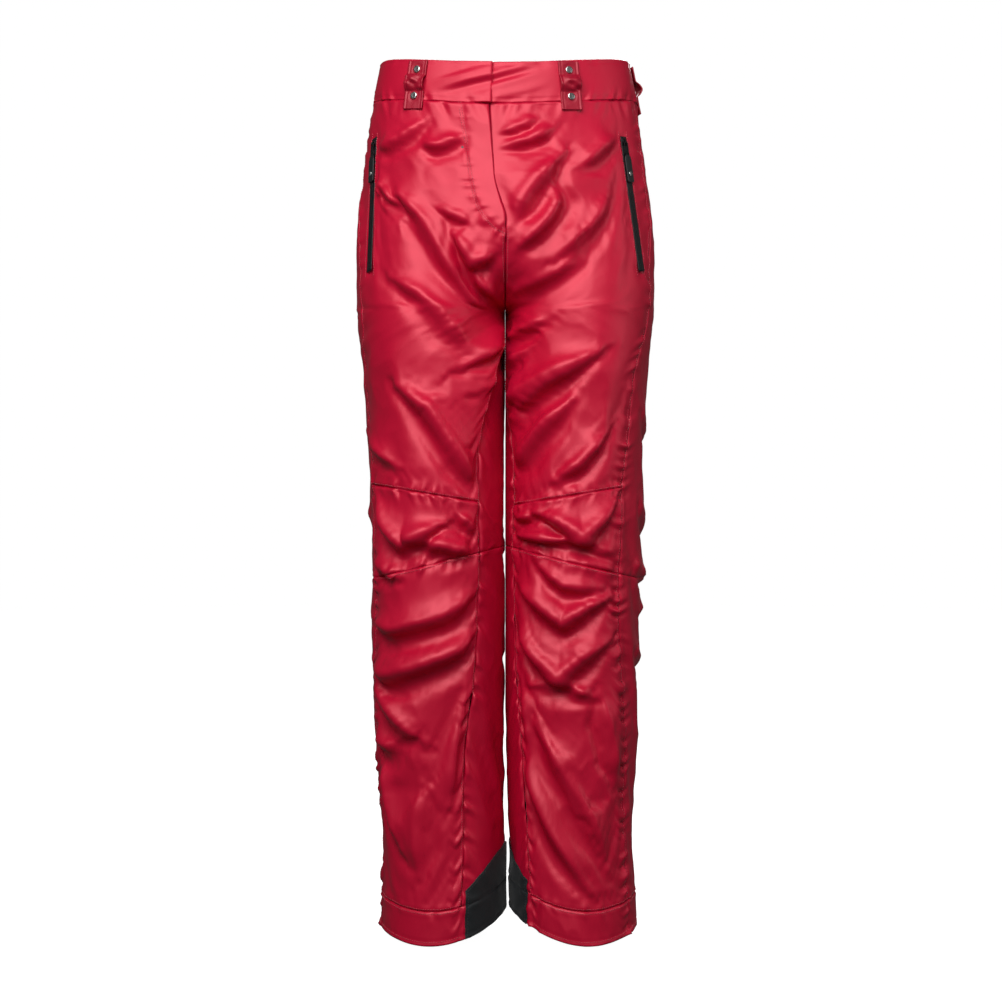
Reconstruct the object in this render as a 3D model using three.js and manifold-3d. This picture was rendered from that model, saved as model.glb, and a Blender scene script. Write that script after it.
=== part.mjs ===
// Women's ski trousers: a padded shell of panels on a waistband, with a lining,
// a fly, two zipped hand pockets, belt loops, snow gaiters and ankle guards.
//
// Frame: +X is the wearer's left, -Y the front, +Z up. The origin is the middle
// of the opening at the top of the waistband. All sizes are in millimetres.
//
// A place on the cloth is given by a side (+1 left, -1 right), a turn g (0 at the
// centre front or inside leg, 0.5 at the side, 1 at the centre back) and a drop,
// the height below the top of the waistband.

import * as THREE from 'three';
import Module from 'manifold-3d';
import { mergeVertices } from 'three/addons/utils/BufferGeometryUtils.js';

const wasm = await Module();
wasm.setup();

// ---- Overall sizes ----
const LENGTH = 1026;            // top of the waistband to the hem
const RISE = 300;               // top of the waistband to the crotch
const WAIST = { width: 296, depth: 196 };
const BAND_FOOT = { width: 314, depth: 208 };
const HIP = { drop: 240, width: 361, depth: 260, back: 10 };
const THIGH = { drop: 405, width: 162, depth: 208, back: 4 };
const KNEE = { drop: 560, width: 156, depth: 184, back: -4 };
const CALF = { drop: 780, width: 153, depth: 174, back: 9 };
const ANKLE = { drop: 925, width: 146, depth: 164, back: 8 };
const HEM = { width: 150, depth: 164, back: 5 };
const LEG_GAP = 3;              // from the middle plane to each inside leg
const HEM_LEAN = 4;             // both hems stand this far towards +X
const THIGH_BLEND = 80;         // reach of the smooth change from body to thigh
const TURN = 0.037;             // how far the garment is turned on the hips

// ---- Cloth and seams ----
const SHELL = 1.6;              // thickness of the shell cloth
const LINING = 0.8;             // thickness of the lining cloth
const SEAM = 0.3;               // gap between two pieces that touch
const BODY_WALL = SHELL + 8.5;  // outside of the shell to the lining, on the body
const LEG_WALL = 5;             // the same, from the knee down
const BAND_HEIGHT = 48;
const WAIST_FRONT_DROP = 19;    // the waistband dips this far in front
const WAIST_BACK_RISE = 8;      // and rises this far behind
const BAND_PROUD = 1.2;         // the waistband stands this far off the shell
const HEM_BAND = 38;            // height of the turned-up hem
const HEM_PROUD = 0.4;
const HEM_WALL = 2.4;
const HEM_INSIDE_RISE = 11;     // the hem is higher on the inside leg
const HEM_SIDE_RISE = 10;       // and hangs lower in front and behind
const KNEE_TOP = 515;           // knee panel seams, and how far they slant
const KNEE_FOOT = 594;
const KNEE_TOP_SLANT = 13;
const KNEE_FOOT_SLANT = -19;
const GUARD = { reach: 0.155, edgeRise: 54, middleRise: 90, off: 0.8, thick: 1.2 };
const GAITER = { top: 872, foot: 992, thick: 0.9, grip: 24 };

// ---- Fly ----
const FLY_LENGTH = 205;         // top of the waistband to the end of the opening
const FLY_WIDTH = 0.1;          // width of the facing and the underlap, as a turn
const FACING = { over: -(SHELL + 0.8), under: SHELL + 1.3 };
const UNDERLAP = { over: -(SHELL + 7.5), under: SHELL + 8.1 };
const TAB_FACE = SHELL + 3.7;   // depth of the waistband's underlap tab
const BAND_END = 2.0;           // thickness of the waistband's overlapping end
const STUD = { radius: 6, nub: 2.1, base: 0.6, cap: 1.8, recess: 1.2 };

// ---- Zips ----
const TAPE = { width: 8.4, thick: 0.6 };
const COIL = { width: 3, height: 0.9, off: 0.3 };
const SLIDER = { width: 7.2, length: 9, wall: 1.4, plate: 0.8, roof: 2.4 };
const ARCH = { width: 2.4, height: 2.6, length: 4, bar: 0.7, foot: 0.75 };
const POCKET = { top: BAND_HEIGHT + 44, foot: BAND_HEIGHT + 206, topTurn: 0.355, footTurn: 0.375 };
const POCKET_TAPE_DEPTH = 0.8;  // outside of the shell to the tape's face
const FLY_ZIP = { top: BAND_HEIGHT + 8, foot: BAND_HEIGHT + 150, topTurn: 0.05, footTurn: 0.05 };
const FLY_TAPE_DEPTH = SHELL + 6.6;
const PULLER = { width: 12, length: 47, thick: 1.2, neck: 7.2, link: 15 };
const FLY_PULLER = { width: 6.8, length: 18, thick: 1.2, neck: 6.4, link: 6 };
const PULLER_RIVET = { radius: 3, dome: 0.9, shank: 1.3, fromEnd: 10 };
const BAG_GAP = 1.3 * (HIP.width / 361); // a flat-faced bag needs more room in a wider hip
const BAG = { front: 0.27, back: 0.46, foot: POCKET.foot + 32, over: -(SHELL + BAG_GAP), thick: 1.4 };

// ---- Belt loops ----
const LOOP = { width: 25, top: 2, foot: 59, thick: 1.8, gap: 7.4, head: 16, tail: 21, ramp: 5 };
const LOOP_TURNS = { front: 0.196, side: 0.57 };
const RIVET = { radius: 4.3, dome: 1.3, shank: 1.5, fromTop: 10.5, fromFoot: 15.5 };

const RED = { color: 0xb3103a, roughness: 0.45, metalness: 0 };
const DARK = { color: 0x0c1214, roughness: 0.7, metalness: 0 };
const LINING_CLOTH = { color: 0x2a2c30, roughness: 0.9, metalness: 0 };
const ZIP_CLOTH = { color: 0x111214, roughness: 0.8, metalness: 0 };
const BLACK_METAL = { color: 0x16171a, roughness: 0.4, metalness: 0.6 };
const SILVER = { color: 0xc8c9cc, roughness: 0.3, metalness: 1 };

const SIDES = { left: 1, right: -1 };
const model = new THREE.Group();

// ---- Small helpers ----
const mix = (a, b, k) => a + (b - a) * k;
const clamp = THREE.MathUtils.clamp;
const ease = THREE.MathUtils.smoothstep;
const constant = value => () => value;

// A smooth curve through [place, value] points, level past both ends.
function throughPoints(points) {
  const slopes = points.map((point, i) => {
    const before = points[Math.max(i - 1, 0)];
    const after = points[Math.min(i + 1, points.length - 1)];
    return (after[1] - before[1]) / (after[0] - before[0]);
  });
  return place => {
    const last = points.length - 1;
    if (place <= points[0][0]) return points[0][1];
    if (place >= points[last][0]) return points[last][1];
    const i = points.findIndex(point => point[0] > place) - 1;
    const span = points[i + 1][0] - points[i][0];
    const k = (place - points[i][0]) / span;
    const start = points[i][1] * (1 - k) ** 2 * (1 + 2 * k) + points[i + 1][1] * k ** 2 * (3 - 2 * k);
    return start + span * k * (1 - k) * (slopes[i] * (1 - k) - slopes[i + 1] * k);
  };
}

// ---- The cloth's outer surface ----
const bodyWidth = throughPoints([[0, WAIST.width / 2], [BAND_HEIGHT, BAND_FOOT.width / 2],
  [HIP.drop, HIP.width / 2], [RISE + 90, THIGH.width + LEG_GAP]]);
const bodyDepth = throughPoints([[0, WAIST.depth / 2], [BAND_HEIGHT, BAND_FOOT.depth / 2],
  [HIP.drop, HIP.depth / 2], [RISE + 90, HIP.depth / 2]]);
const legWidth = throughPoints([[RISE, (HIP.width / 2 - LEG_GAP) * 0.49], [THIGH.drop, THIGH.width / 2],
  [KNEE.drop, KNEE.width / 2], [CALF.drop, CALF.width / 2], [ANKLE.drop, ANKLE.width / 2],
  [LENGTH, HEM.width / 2]]);
const legDepth = throughPoints([[RISE, HIP.depth * 0.44], [THIGH.drop, THIGH.depth / 2],
  [KNEE.drop, KNEE.depth / 2], [CALF.drop, CALF.depth / 2], [ANKLE.drop, ANKLE.depth / 2],
  [LENGTH, HEM.depth / 2]]);
const middleY = throughPoints([[0, 0], [HIP.drop, HIP.back], [THIGH.drop, THIGH.back],
  [KNEE.drop, KNEE.back], [CALF.drop, CALF.back], [ANKLE.drop, ANKLE.back], [LENGTH, HEM.back]]);

// 0 on the body and 1 on the legs. At the middle seam the change follows a quarter of an oval,
// which is the crotch seam; away from it the body runs into the thigh more slowly.
function legShare(drop, u) {
  const along = clamp((drop - FLY_LENGTH) / (RISE - FLY_LENGTH), 0, 1);
  const atSeam = 1 - Math.sqrt(1 - along * along);
  const away = ease(drop, FLY_LENGTH - THIGH_BLEND, RISE + THIGH_BLEND);
  return mix(away, atSeam, Math.cos(Math.PI * u) ** 6);
}

// The garment is turned a little on the body, except where its halves meet at the crotch.
function turned(drop) {
  return TURN * Math.max(1 - ease(drop, FLY_LENGTH * 0.7, FLY_LENGTH), ease(drop, RISE, RISE + 80));
}

// How far a level dips round the body: the waistband is low in front, the knee seams slant, and
// the hem rises at the inside and the side.
function dip(drop, u) {
  const inside = Math.cos(2 * Math.PI * u);
  const kneeTop = KNEE_TOP_SLANT * ease(drop, KNEE_TOP - 100, KNEE_TOP)
    * (1 - ease(drop, KNEE_TOP, KNEE_FOOT));
  const kneeFoot = KNEE_FOOT_SLANT * ease(drop, KNEE_TOP, KNEE_FOOT)
    * (1 - ease(drop, KNEE_FOOT, KNEE_FOOT + 120));
  const hem = ease(drop, LENGTH - 160, LENGTH);
  const hemDip = -HEM_INSIDE_RISE * inside - HEM_SIDE_RISE * Math.cos(4 * Math.PI * u);
  const forward = Math.cos(Math.PI * u);
  const waistDip = forward ** 2 * (forward > 0 ? WAIST_FRONT_DROP : -WAIST_BACK_RISE);
  return (kneeTop + kneeFoot) * inside + hem * hemDip
    + waistDip * (1 - ease(drop, BAND_HEIGHT, FLY_LENGTH));
}

function smoothSurface(side, g, drop) {
  const u = g - side * turned(drop);
  const leg = legShare(drop, u);
  const bodyX = bodyWidth(drop) * Math.sin(Math.PI * u);
  const bodyY = -bodyDepth(drop) * Math.cos(Math.PI * u);
  const legX = LEG_GAP + 2 * legWidth(drop) * Math.sin(Math.PI * u) ** 2;
  const legY = -legDepth(drop) * Math.sin(2 * Math.PI * u);
  const lean = HEM_LEAN * ease(drop, CALF.drop, LENGTH);
  return new THREE.Vector3(side * mix(bodyX, legX, leg) + lean,
    middleY(drop) + mix(bodyY, legY, leg), -drop - dip(drop, u));
}

// A zip is straight, so the cloth is drawn straight along it.
const FLY_LINE = { side: SIDES.right, ...FLY_ZIP };
const ZIP_LINES = [FLY_LINE, ...Object.values(SIDES).map(side => ({ side, ...POCKET }))];
const STRAIGHT_REACH = 0.025;
const STRAIGHT_FADE = 0.08;
const STRAIGHT_RUNOUT = 30;

const lineTurn = (line, drop) => mix(line.topTurn, line.footTurn, (drop - line.top) / (line.foot - line.top));

function linePoint(line, drop) {
  const top = smoothSurface(line.side, line.topTurn, line.top);
  const foot = smoothSurface(line.side, line.footTurn, line.foot);
  return top.lerp(foot, (drop - line.top) / (line.foot - line.top));
}

function surface(side, g, drop) {
  const point = smoothSurface(side, g, drop);
  for (const line of ZIP_LINES) {
    const turn = lineTurn(line, drop);
    const across = Math.abs(side * g - line.side * turn);
    const along = ease(drop, line.top - STRAIGHT_RUNOUT, line.top)
      * (1 - ease(drop, line.foot, line.foot + STRAIGHT_RUNOUT));
    const share = along * (1 - ease(across, STRAIGHT_REACH, STRAIGHT_FADE));
    if (share === 0) continue;
    const shift = linePoint(line, drop).sub(smoothSurface(line.side, turn, drop));
    point.addScaledVector(shift, share);
  }
  return point;
}

function outward(side, g, drop) {
  const around = surface(side, g + 0.004, drop).sub(surface(side, g - 0.004, drop));
  const down = surface(side, g, drop + 1).sub(surface(side, g, drop - 1));
  return down.cross(around).multiplyScalar(side).normalize();
}

const clothPoint = (side, g, drop, off) =>
  surface(side, g, drop).addScaledVector(outward(side, g, drop), off);

// ---- Solids ----
function addMesh(parent, name, geometry, look) {
  const mesh = new THREE.Mesh(geometry, new THREE.MeshStandardMaterial(look));
  mesh.name = name;
  parent.add(mesh);
  return mesh;
}

function signedVolume(points, faces) {
  const [a, b, c] = [new THREE.Vector3(), new THREE.Vector3(), new THREE.Vector3()];
  return faces.reduce((sum, face) => {
    [a, b, c].forEach((corner, i) => corner.copy(points[face[i]]));
    return sum + a.dot(b.cross(c)) / 6;
  }, 0);
}

function solidFromFaces(points, faces) {
  const outwardFaces = signedVolume(points, faces) < 0 ? faces.map(face => [...face].reverse()) : faces;
  const geometry = new THREE.BufferGeometry();
  geometry.setAttribute('position', new THREE.Float32BufferAttribute(points.flatMap(p => p.toArray()), 3));
  geometry.setIndex(outwardFaces.flat());
  return geometry;
}

// Columns of a piece of cloth: where each runs, and how far it stands over and under the surface.
function columns(from, to, count, over = 0, under = SHELL) {
  const depth = value => (typeof value === 'function' ? value : constant(value));
  return Array.from({ length: count + 1 }, (_, k) => ({
    turn: drop => mix(from(drop), to(drop), k / count), over: depth(over), under: depth(under),
  }));
}

// Moves the border of a grid inwards by half a seam gap.
function trimBorder(grid, closed) {
  const trimmed = grid.map(row => row.map(point => point.clone()));
  const last = grid.length - 1;
  const move = (point, from, to) => point.addScaledVector(to.clone().sub(from).normalize(), SEAM / 2);
  grid[0].forEach((point, j) => {
    move(trimmed[0][j], point, grid[1][j]);
    move(trimmed[last][j], grid[last][j], grid[last - 1][j]);
  });
  if (closed) return trimmed;
  grid.forEach((row, i) => {
    const end = row.length - 1;
    move(trimmed[i][0], row[0], row[1]);
    move(trimmed[i][end], row[end], row[end - 1]);
  });
  return trimmed;
}

// A closed solid of cloth over rows and columns; a closed one goes right round the leg. A row
// is a drop, or a function that gives the drop from the share of the way across.
function clothSolid(side, rows, strips, closed = false) {
  const layer = offset => trimBorder(rows.map(row => strips.map((strip, j) => {
    const drop = typeof row === 'function' ? row(j / (strips.length - 1)) : row;
    return clothPoint(side, strip.turn(drop), drop, offset(strip, drop));
  })), closed);
  const outer = layer((strip, drop) => strip.over(drop));
  const inner = layer((strip, drop) => -strip.under(drop));
  const across = strips.length;
  const half = outer.length * across;
  const foot = rows.length - 1;
  const faces = [];
  const quad = (a, b, c, d) => faces.push([a, b, c], [a, c, d]);
  const at = (i, j) => i * across + (j % across);
  for (let j = 0; j < (closed ? across : across - 1); j += 1) {
    for (let i = 0; i < foot; i += 1) {
      quad(at(i, j), at(i + 1, j), at(i + 1, j + 1), at(i, j + 1));
      quad(half + at(i, j), half + at(i, j + 1), half + at(i + 1, j + 1), half + at(i + 1, j));
    }
    quad(at(0, j), at(0, j + 1), half + at(0, j + 1), half + at(0, j));
    quad(at(foot, j + 1), at(foot, j), half + at(foot, j), half + at(foot, j + 1));
  }
  for (let i = 0; i < foot && !closed; i += 1) {
    const end = across - 1;
    quad(at(i + 1, 0), at(i, 0), half + at(i, 0), half + at(i + 1, 0));
    quad(at(i, end), at(i + 1, end), half + at(i + 1, end), half + at(i, end));
  }
  return solidFromFaces([...outer.flat(), ...inner.flat()], faces);
}

function toManifold(geometry) {
  const bare = geometry.clone();
  bare.deleteAttribute('normal');
  bare.deleteAttribute('uv');
  const merged = mergeVertices(bare, 1e-4);
  return new wasm.Manifold(new wasm.Mesh({
    numProp: 3,
    vertProperties: new Float32Array(merged.attributes.position.array),
    triVerts: new Uint32Array(merged.index.array),
  }));
}

function fromManifold(solid) {
  const mesh = solid.getMesh();
  const geometry = new THREE.BufferGeometry();
  geometry.setAttribute('position', new THREE.Float32BufferAttribute(mesh.vertProperties, 3));
  geometry.setIndex([...mesh.triVerts]);
  return geometry;
}

const join = (...shapes) => fromManifold(shapes.map(toManifold).reduce((a, b) => a.add(b)));
const cut = (shape, ...tools) =>
  fromManifold(tools.map(toManifold).reduce((a, b) => a.subtract(b), toManifold(shape)));

const box = (width, length, height, x = 0, y = 0, z = 0) =>
  new THREE.BoxGeometry(width, length, height).translate(x, y, z + height / 2);
const peg = (radius, height, z = 0, y = 0) =>
  new THREE.CylinderGeometry(radius, radius, height, 16).rotateX(Math.PI / 2).translate(0, y, z + height / 2);

// A group whose Z stands out of the cloth, Y runs up it and X goes across.
function stand(origin, up, out) {
  const across = up.clone().cross(out).normalize();
  const place = new THREE.Group();
  place.quaternion.setFromRotationMatrix(
    new THREE.Matrix4().makeBasis(across, up, across.clone().cross(up)));
  place.position.copy(origin);
  place.updateMatrixWorld(true);
  model.add(place);
  return place;
}

function standOnCloth(side, g, top, foot, off = 0) {
  const high = surface(side, g, top);
  const low = surface(side, g, foot);
  const up = high.clone().sub(low).normalize();
  const out = outward(side, g, (top + foot) / 2);
  out.addScaledVector(up, -out.dot(up)).normalize();
  return stand(high.add(low).multiplyScalar(0.5).addScaledVector(out, off), up, out);
}

// ---- Levels that every large piece shares, so that seams meet ----
const CROTCH_STEPS = [0.31, 0.59, 0.81, 0.95];
const LEVELS = [BAND_HEIGHT, 70, POCKET.top, 125, 165, FLY_LENGTH,
  ...CROTCH_STEPS.map(k => mix(FLY_LENGTH, RISE, k)), RISE, RISE + 18, RISE + 42,
  390, 450, KNEE_TOP, (KNEE_TOP + KNEE_FOOT) / 2, KNEE_FOOT, 655, 720, 790, 860, 930,
  LENGTH - HEM_BAND, LENGTH];
const levels = (from, to) => LEVELS.filter(drop => drop >= from && drop <= to);

// ---- Seam lines down the leg ----
const insideSeam = throughPoints([[RISE, 0], [RISE + 42, 0.075], [457, 0.1], [600, 0.103],
  [705, 0.112], [820, 0.145], [LENGTH, 0.168]]);
const outsideSeam = throughPoints([[BAND_HEIGHT, 0.47], [HIP.drop, 0.425], [400, 0.428],
  [KNEE_TOP, 0.41], [650, 0.404], [CALF.drop, 0.43], [LENGTH, 0.455]]);
const backSeam = drop => 1 + insideSeam(drop);
const FRONT_COLUMNS = 9;
const BACK_COLUMNS = 13;

// Where a straight zip sits: its middle, its direction, its outward side and its length.
function zipSeat(line) {
  const top = linePoint(line, line.top);
  const foot = linePoint(line, line.foot);
  const up = top.clone().sub(foot).normalize();
  const out = outward(line.side, (line.topTurn + line.footTurn) / 2, (line.top + line.foot) / 2);
  out.addScaledVector(up, -out.dot(up)).normalize();
  return { middle: top.clone().add(foot).multiplyScalar(0.5), up, out, length: top.distanceTo(foot) };
}

// ---- Shell ----
function addShell(name, side) {
  const front = columns(insideSeam, outsideSeam, FRONT_COLUMNS);
  const back = columns(outsideSeam, backSeam, BACK_COLUMNS);
  const pocket = zipSeat({ side, ...POCKET });
  const window = box(TAPE.width + 2 * SEAM, pocket.length + 2 * SEAM, 60, 0, 0, -30);
  window.applyMatrix4(stand(pocket.middle, pocket.up, pocket.out).matrixWorld);
  const thigh = clothSolid(side, levels(BAND_HEIGHT, KNEE_TOP), front);
  addMesh(model, `front_thigh_${name}`, cut(thigh, window), RED);
  addMesh(model, `knee_panel_${name}`, clothSolid(side, levels(KNEE_TOP, KNEE_FOOT), front), RED);
  addMesh(model, `front_shin_${name}`, clothSolid(side, levels(KNEE_FOOT, LENGTH - HEM_BAND), front), RED);
  addMesh(model, `back_thigh_${name}`, clothSolid(side, levels(BAND_HEIGHT, KNEE_FOOT), back), RED);
  addMesh(model, `back_shin_${name}`, clothSolid(side, levels(KNEE_FOOT, LENGTH - HEM_BAND), back), RED);
}

function addHem(name, side) {
  const ring = [...columns(insideSeam, outsideSeam, FRONT_COLUMNS, HEM_PROUD, HEM_WALL).slice(0, -1),
    ...columns(outsideSeam, backSeam, BACK_COLUMNS, HEM_PROUD, HEM_WALL).slice(0, -1)];
  addMesh(model, `hem_band_${name}`, clothSolid(side, levels(LENGTH - HEM_BAND, LENGTH), ring, true), RED);
}

// The guard wraps the inside of the ankle; its top edge rises to the middle.
function addGuard(name, side) {
  const strips = columns(constant(-GUARD.reach), constant(GUARD.reach), 16,
    GUARD.off + GUARD.thick, -GUARD.off);
  const top = k => LENGTH - mix(GUARD.middleRise, GUARD.edgeRise, Math.abs(2 * k - 1) ** 1.5);
  const rows = [0, 0.25, 0.5, 0.75, 1].map(share => k => mix(top(k), LENGTH, share));
  addMesh(model, `ankle_guard_${name}`, clothSolid(side, rows, strips), DARK);
}

// ---- Waistband: the right end lies over a tab on the left one ----
const BAND_ROWS = [0, BAND_HEIGHT];
const BAND_JOIN = 0.72;         // where the side lengths meet the back length
const STEP = 0.002;             // width of the step between two thicknesses, as a turn

const bandColumns = (from, to, count, proud = BAND_PROUD, wall = BODY_WALL + LINING) =>
  columns(constant(from), constant(to), count, proud, wall);

function addWaistband() {
  const end = FLY_WIDTH;
  const lengthwise = 11;
  const left = [...bandColumns(-end, 0, 3, -TAB_FACE, BODY_WALL - SEAM),
    ...bandColumns(STEP, BAND_JOIN, lengthwise)];
  const right = [...bandColumns(0, end + STEP, 3, BAND_PROUD, BAND_END),
    ...bandColumns(end + 2 * STEP, BAND_JOIN, lengthwise)];
  addMesh(model, 'waistband_left', clothSolid(SIDES.left, BAND_ROWS, left), RED);
  addMesh(model, 'waistband_right', clothSolid(SIDES.right, BAND_ROWS, right), RED);
  addMesh(model, 'waistband_back',
    clothSolid(SIDES.left, BAND_ROWS, bandColumns(BAND_JOIN, 2 - BAND_JOIN, 10)), RED);
}

// ---- Belt loops ----
function addRivet(place, name, y, base, size) {
  const { radius, dome, shank, depth } = size;
  const profile = [[0, -depth], [shank, -depth], [shank, 0], [radius, 0], [radius * 0.93, dome * 0.55],
    [radius * 0.6, dome * 0.9], [0, dome]].map(([x, z]) => new THREE.Vector2(x, z));
  const rivet = new THREE.LatheGeometry(profile, 14).rotateX(Math.PI / 2).translate(0, y, base);
  addMesh(place, name, rivet, SILVER);
}

function addBeltLoop(name, side, turn) {
  const place = standOnCloth(side, turn, LOOP.top, LOOP.foot, BAND_PROUD + 2 * SEAM);
  const half = (LOOP.foot - LOOP.top) / 2;
  const low = LOOP.tail - half;
  const high = half - LOOP.head;
  const under = [[-half, 0], [low, 0], [low + LOOP.ramp, LOOP.gap], [high - LOOP.ramp, LOOP.gap],
    [high, 0], [half, 0]];
  const over = under.map(([y, z]) => [clamp(y * 1.1, -half, half), z + LOOP.thick]).reverse();
  const outline = new THREE.Shape([...under, ...over].map(([y, z]) => new THREE.Vector2(y, z)));
  const strap = new THREE.ExtrudeGeometry(outline, { depth: LOOP.width, bevelEnabled: false });
  strap.translate(0, 0, -LOOP.width / 2).applyMatrix4(new THREE.Matrix4().makeBasis(
    new THREE.Vector3(0, 1, 0), new THREE.Vector3(0, 0, 1), new THREE.Vector3(1, 0, 0)));
  const rivets = { top: half - RIVET.fromTop, foot: RIVET.fromFoot - half };
  const holes = Object.values(rivets).map(y => peg(RIVET.shank + SEAM, 3 * LOOP.thick, -LOOP.thick, y));
  addMesh(place, `belt_loop_${name}`, cut(strap, ...holes), RED);
  const size = { ...RIVET, depth: LOOP.thick };
  for (const [end, y] of Object.entries(rivets)) {
    addRivet(place, `rivet_${name}_${end}`, y, LOOP.thick + SEAM, size);
  }
}

// ---- Zips: tape, coil, slider with a bridge, and a puller that hangs on the bridge ----
const BAR_HEIGHT = SLIDER.roof + ARCH.height / 2 - ARCH.bar / 2;

function sliderShape() {
  const edge = SLIDER.width / 2;
  const shell = box(SLIDER.width, SLIDER.length, SLIDER.roof - COIL.off, 0, 0, COIL.off);
  const coilWay = box(2 * (edge - SLIDER.wall), 2 * SLIDER.length, SLIDER.roof - SLIDER.plate);
  const bridge = box(ARCH.width, ARCH.length, ARCH.height + 0.2, 0, 0, SLIDER.roof - 0.2);
  const eye = box(2 * ARCH.width, ARCH.length - 2 * ARCH.foot, ARCH.height - ARCH.bar, 0, 0, SLIDER.roof);
  return join(cut(shell, coilWay), cut(bridge, eye));
}

function pullerShape(size) {
  const edge = size.width / 2;
  const neck = size.neck / 2;
  const bar = size.thick / 2;
  const shoulder = -size.link;
  const flare = shoulder - 3;
  const clipped = 2;
  const halfOutline = [[neck, bar], [neck, shoulder], [edge, flare], [edge, clipped - size.length],
    [edge - clipped, -size.length]];
  const leftOutline = halfOutline.map(([x, y]) => [-x, y]);
  const corners = [...leftOutline, ...halfOutline.reverse()];
  const outline = new THREE.Shape(corners.map(([x, y]) => new THREE.Vector2(x, y)));
  const windowEdge = ARCH.width / 2 + 2 * SEAM;
  const windowEnd = shoulder + 1;
  outline.holes.push(new THREE.Path([[-windowEdge, -bar], [windowEdge, -bar], [windowEdge, windowEnd],
    [-windowEdge, windowEnd]].map(([x, y]) => new THREE.Vector2(x, y))));
  const plate = new THREE.ExtrudeGeometry(outline, { depth: size.thick, bevelEnabled: false });
  return plate.translate(0, 0, BAR_HEIGHT - bar);
}

function addZip(name, line, depth, pullerSize) {
  const { middle, up, out, length } = zipSeat(line);
  const place = stand(middle.addScaledVector(out, -depth), up, out);
  const half = length / 2;
  addMesh(place, `${name}_tape`, box(TAPE.width, length, TAPE.thick, 0, 0, -TAPE.thick), ZIP_CLOTH);
  addMesh(place, `${name}_coil`, box(COIL.width, length - 4, COIL.height, 0, 0, COIL.off), BLACK_METAL);
  const start = half - SLIDER.length / 2 - 3;
  const slider = new THREE.Group();
  slider.position.set(0, start, 0);
  place.add(slider);
  addMesh(slider, `${name}_slider`, sliderShape(), BLACK_METAL);
  const puller = pullerShape(pullerSize);
  if (!pullerSize.rivet) return addMesh(slider, `${name}_puller`, puller, BLACK_METAL);
  const { shank, fromEnd } = pullerSize.rivet;
  const rivetY = fromEnd - pullerSize.length;
  const hole = peg(shank + SEAM, 4 * pullerSize.thick, BAR_HEIGHT - 2 * pullerSize.thick, rivetY);
  addMesh(slider, `${name}_puller`, cut(puller, hole), DARK);
  const base = BAR_HEIGHT + pullerSize.thick / 2 + SEAM;
  const size = { ...pullerSize.rivet, depth: pullerSize.thick };
  return addRivet(slider, `${name}_puller_rivet`, rivetY, base, size);
}

function addPocket(name, side) {
  addZip(`pocket_zip_${name}`, { side, ...POCKET }, POCKET_TAPE_DEPTH, { ...PULLER, rivet: PULLER_RIVET });
  const strips = columns(constant(BAG.front), constant(BAG.back), 6, BAG.over, BAG.thick - BAG.over);
  addMesh(model, `pocket_bag_${name}`, clothSolid(side, levels(POCKET.top, BAG.foot), strips), LINING_CLOTH);
}

// ---- Fly ----
function addFly() {
  const rows = levels(BAND_HEIGHT, FLY_LENGTH);
  const facing = columns(constant(2 * STEP), constant(FLY_WIDTH), 3, FACING.over, FACING.under);
  addMesh(model, 'fly_facing', clothSolid(SIDES.right, rows, facing), LINING_CLOTH);
  const underlap = columns(constant(-0.03), constant(FLY_WIDTH), 4, UNDERLAP.over, UNDERLAP.under);
  addMesh(model, 'fly_underlap', clothSolid(SIDES.right, rows, underlap), LINING_CLOTH);
  addZip('fly_zip', FLY_LINE, FLY_TAPE_DEPTH, FLY_PULLER);
}

// A press stud closes the waistband: the socket on the overlapping end, the stud on the tab.
function addPressStud() {
  const socketDepth = BAND_END + SEAM;
  const middle = BAND_HEIGHT / 2;
  const place = standOnCloth(SIDES.right, FLY_WIDTH / 2, middle - 10, middle + 10, 0);
  const cap = peg(STUD.radius, STUD.cap, -socketDepth - STUD.cap);
  const recess = peg(STUD.nub + SEAM, STUD.recess + 1, -socketDepth - STUD.cap - 1);
  addMesh(place, 'waist_socket', cut(cap, recess), SILVER);
  const base = peg(STUD.radius, STUD.base, -TAB_FACE + SEAM);
  const nub = peg(STUD.nub, TAB_FACE - SEAM - socketDepth - STUD.cap + STUD.recess - SEAM, -TAB_FACE + SEAM);
  addMesh(place, 'waist_stud', join(base, nub), SILVER);
}

// ---- Lining and snow gaiters ----
const LINING_COLUMNS = 18;
const liningDepth = drop => mix(BODY_WALL, LEG_WALL, ease(drop, RISE, KNEE_TOP));

function addLining(name, side) {
  const strips = columns(constant(0), constant(1), LINING_COLUMNS,
    drop => -liningDepth(drop), drop => liningDepth(drop) + LINING);
  const rows = levels(BAND_HEIGHT, LENGTH - HEM_BAND);
  addMesh(model, `lining_${name}`, clothSolid(side, rows, strips), LINING_CLOTH);
}

function addGaiter(name, side) {
  const rows = [0, 1 / 3, 2 / 3, 1].map(share => mix(GAITER.top, GAITER.foot, share));
  const start = LEG_WALL + LINING + 2 * SEAM;
  const depth = drop => mix(start, GAITER.grip, ease(drop, GAITER.top + 20, GAITER.foot));
  const strips = columns(constant(0), constant(1), LINING_COLUMNS,
    drop => -depth(drop), drop => depth(drop) + GAITER.thick);
  addMesh(model, `snow_gaiter_${name}`, clothSolid(side, rows, strips.slice(0, -1), true), LINING_CLOTH);
}

for (const [name, side] of Object.entries(SIDES)) {
  addShell(name, side);
  addHem(name, side);
  addGuard(name, side);
  addPocket(name, side);
  addLining(name, side);
  addGaiter(name, side);
  for (const [spot, turn] of Object.entries(LOOP_TURNS)) addBeltLoop(`${spot}_${name}`, side, turn);
}
addWaistband();
addBeltLoop('back', SIDES.left, 1);
addFly();
addPressStud();

export default model;
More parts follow.
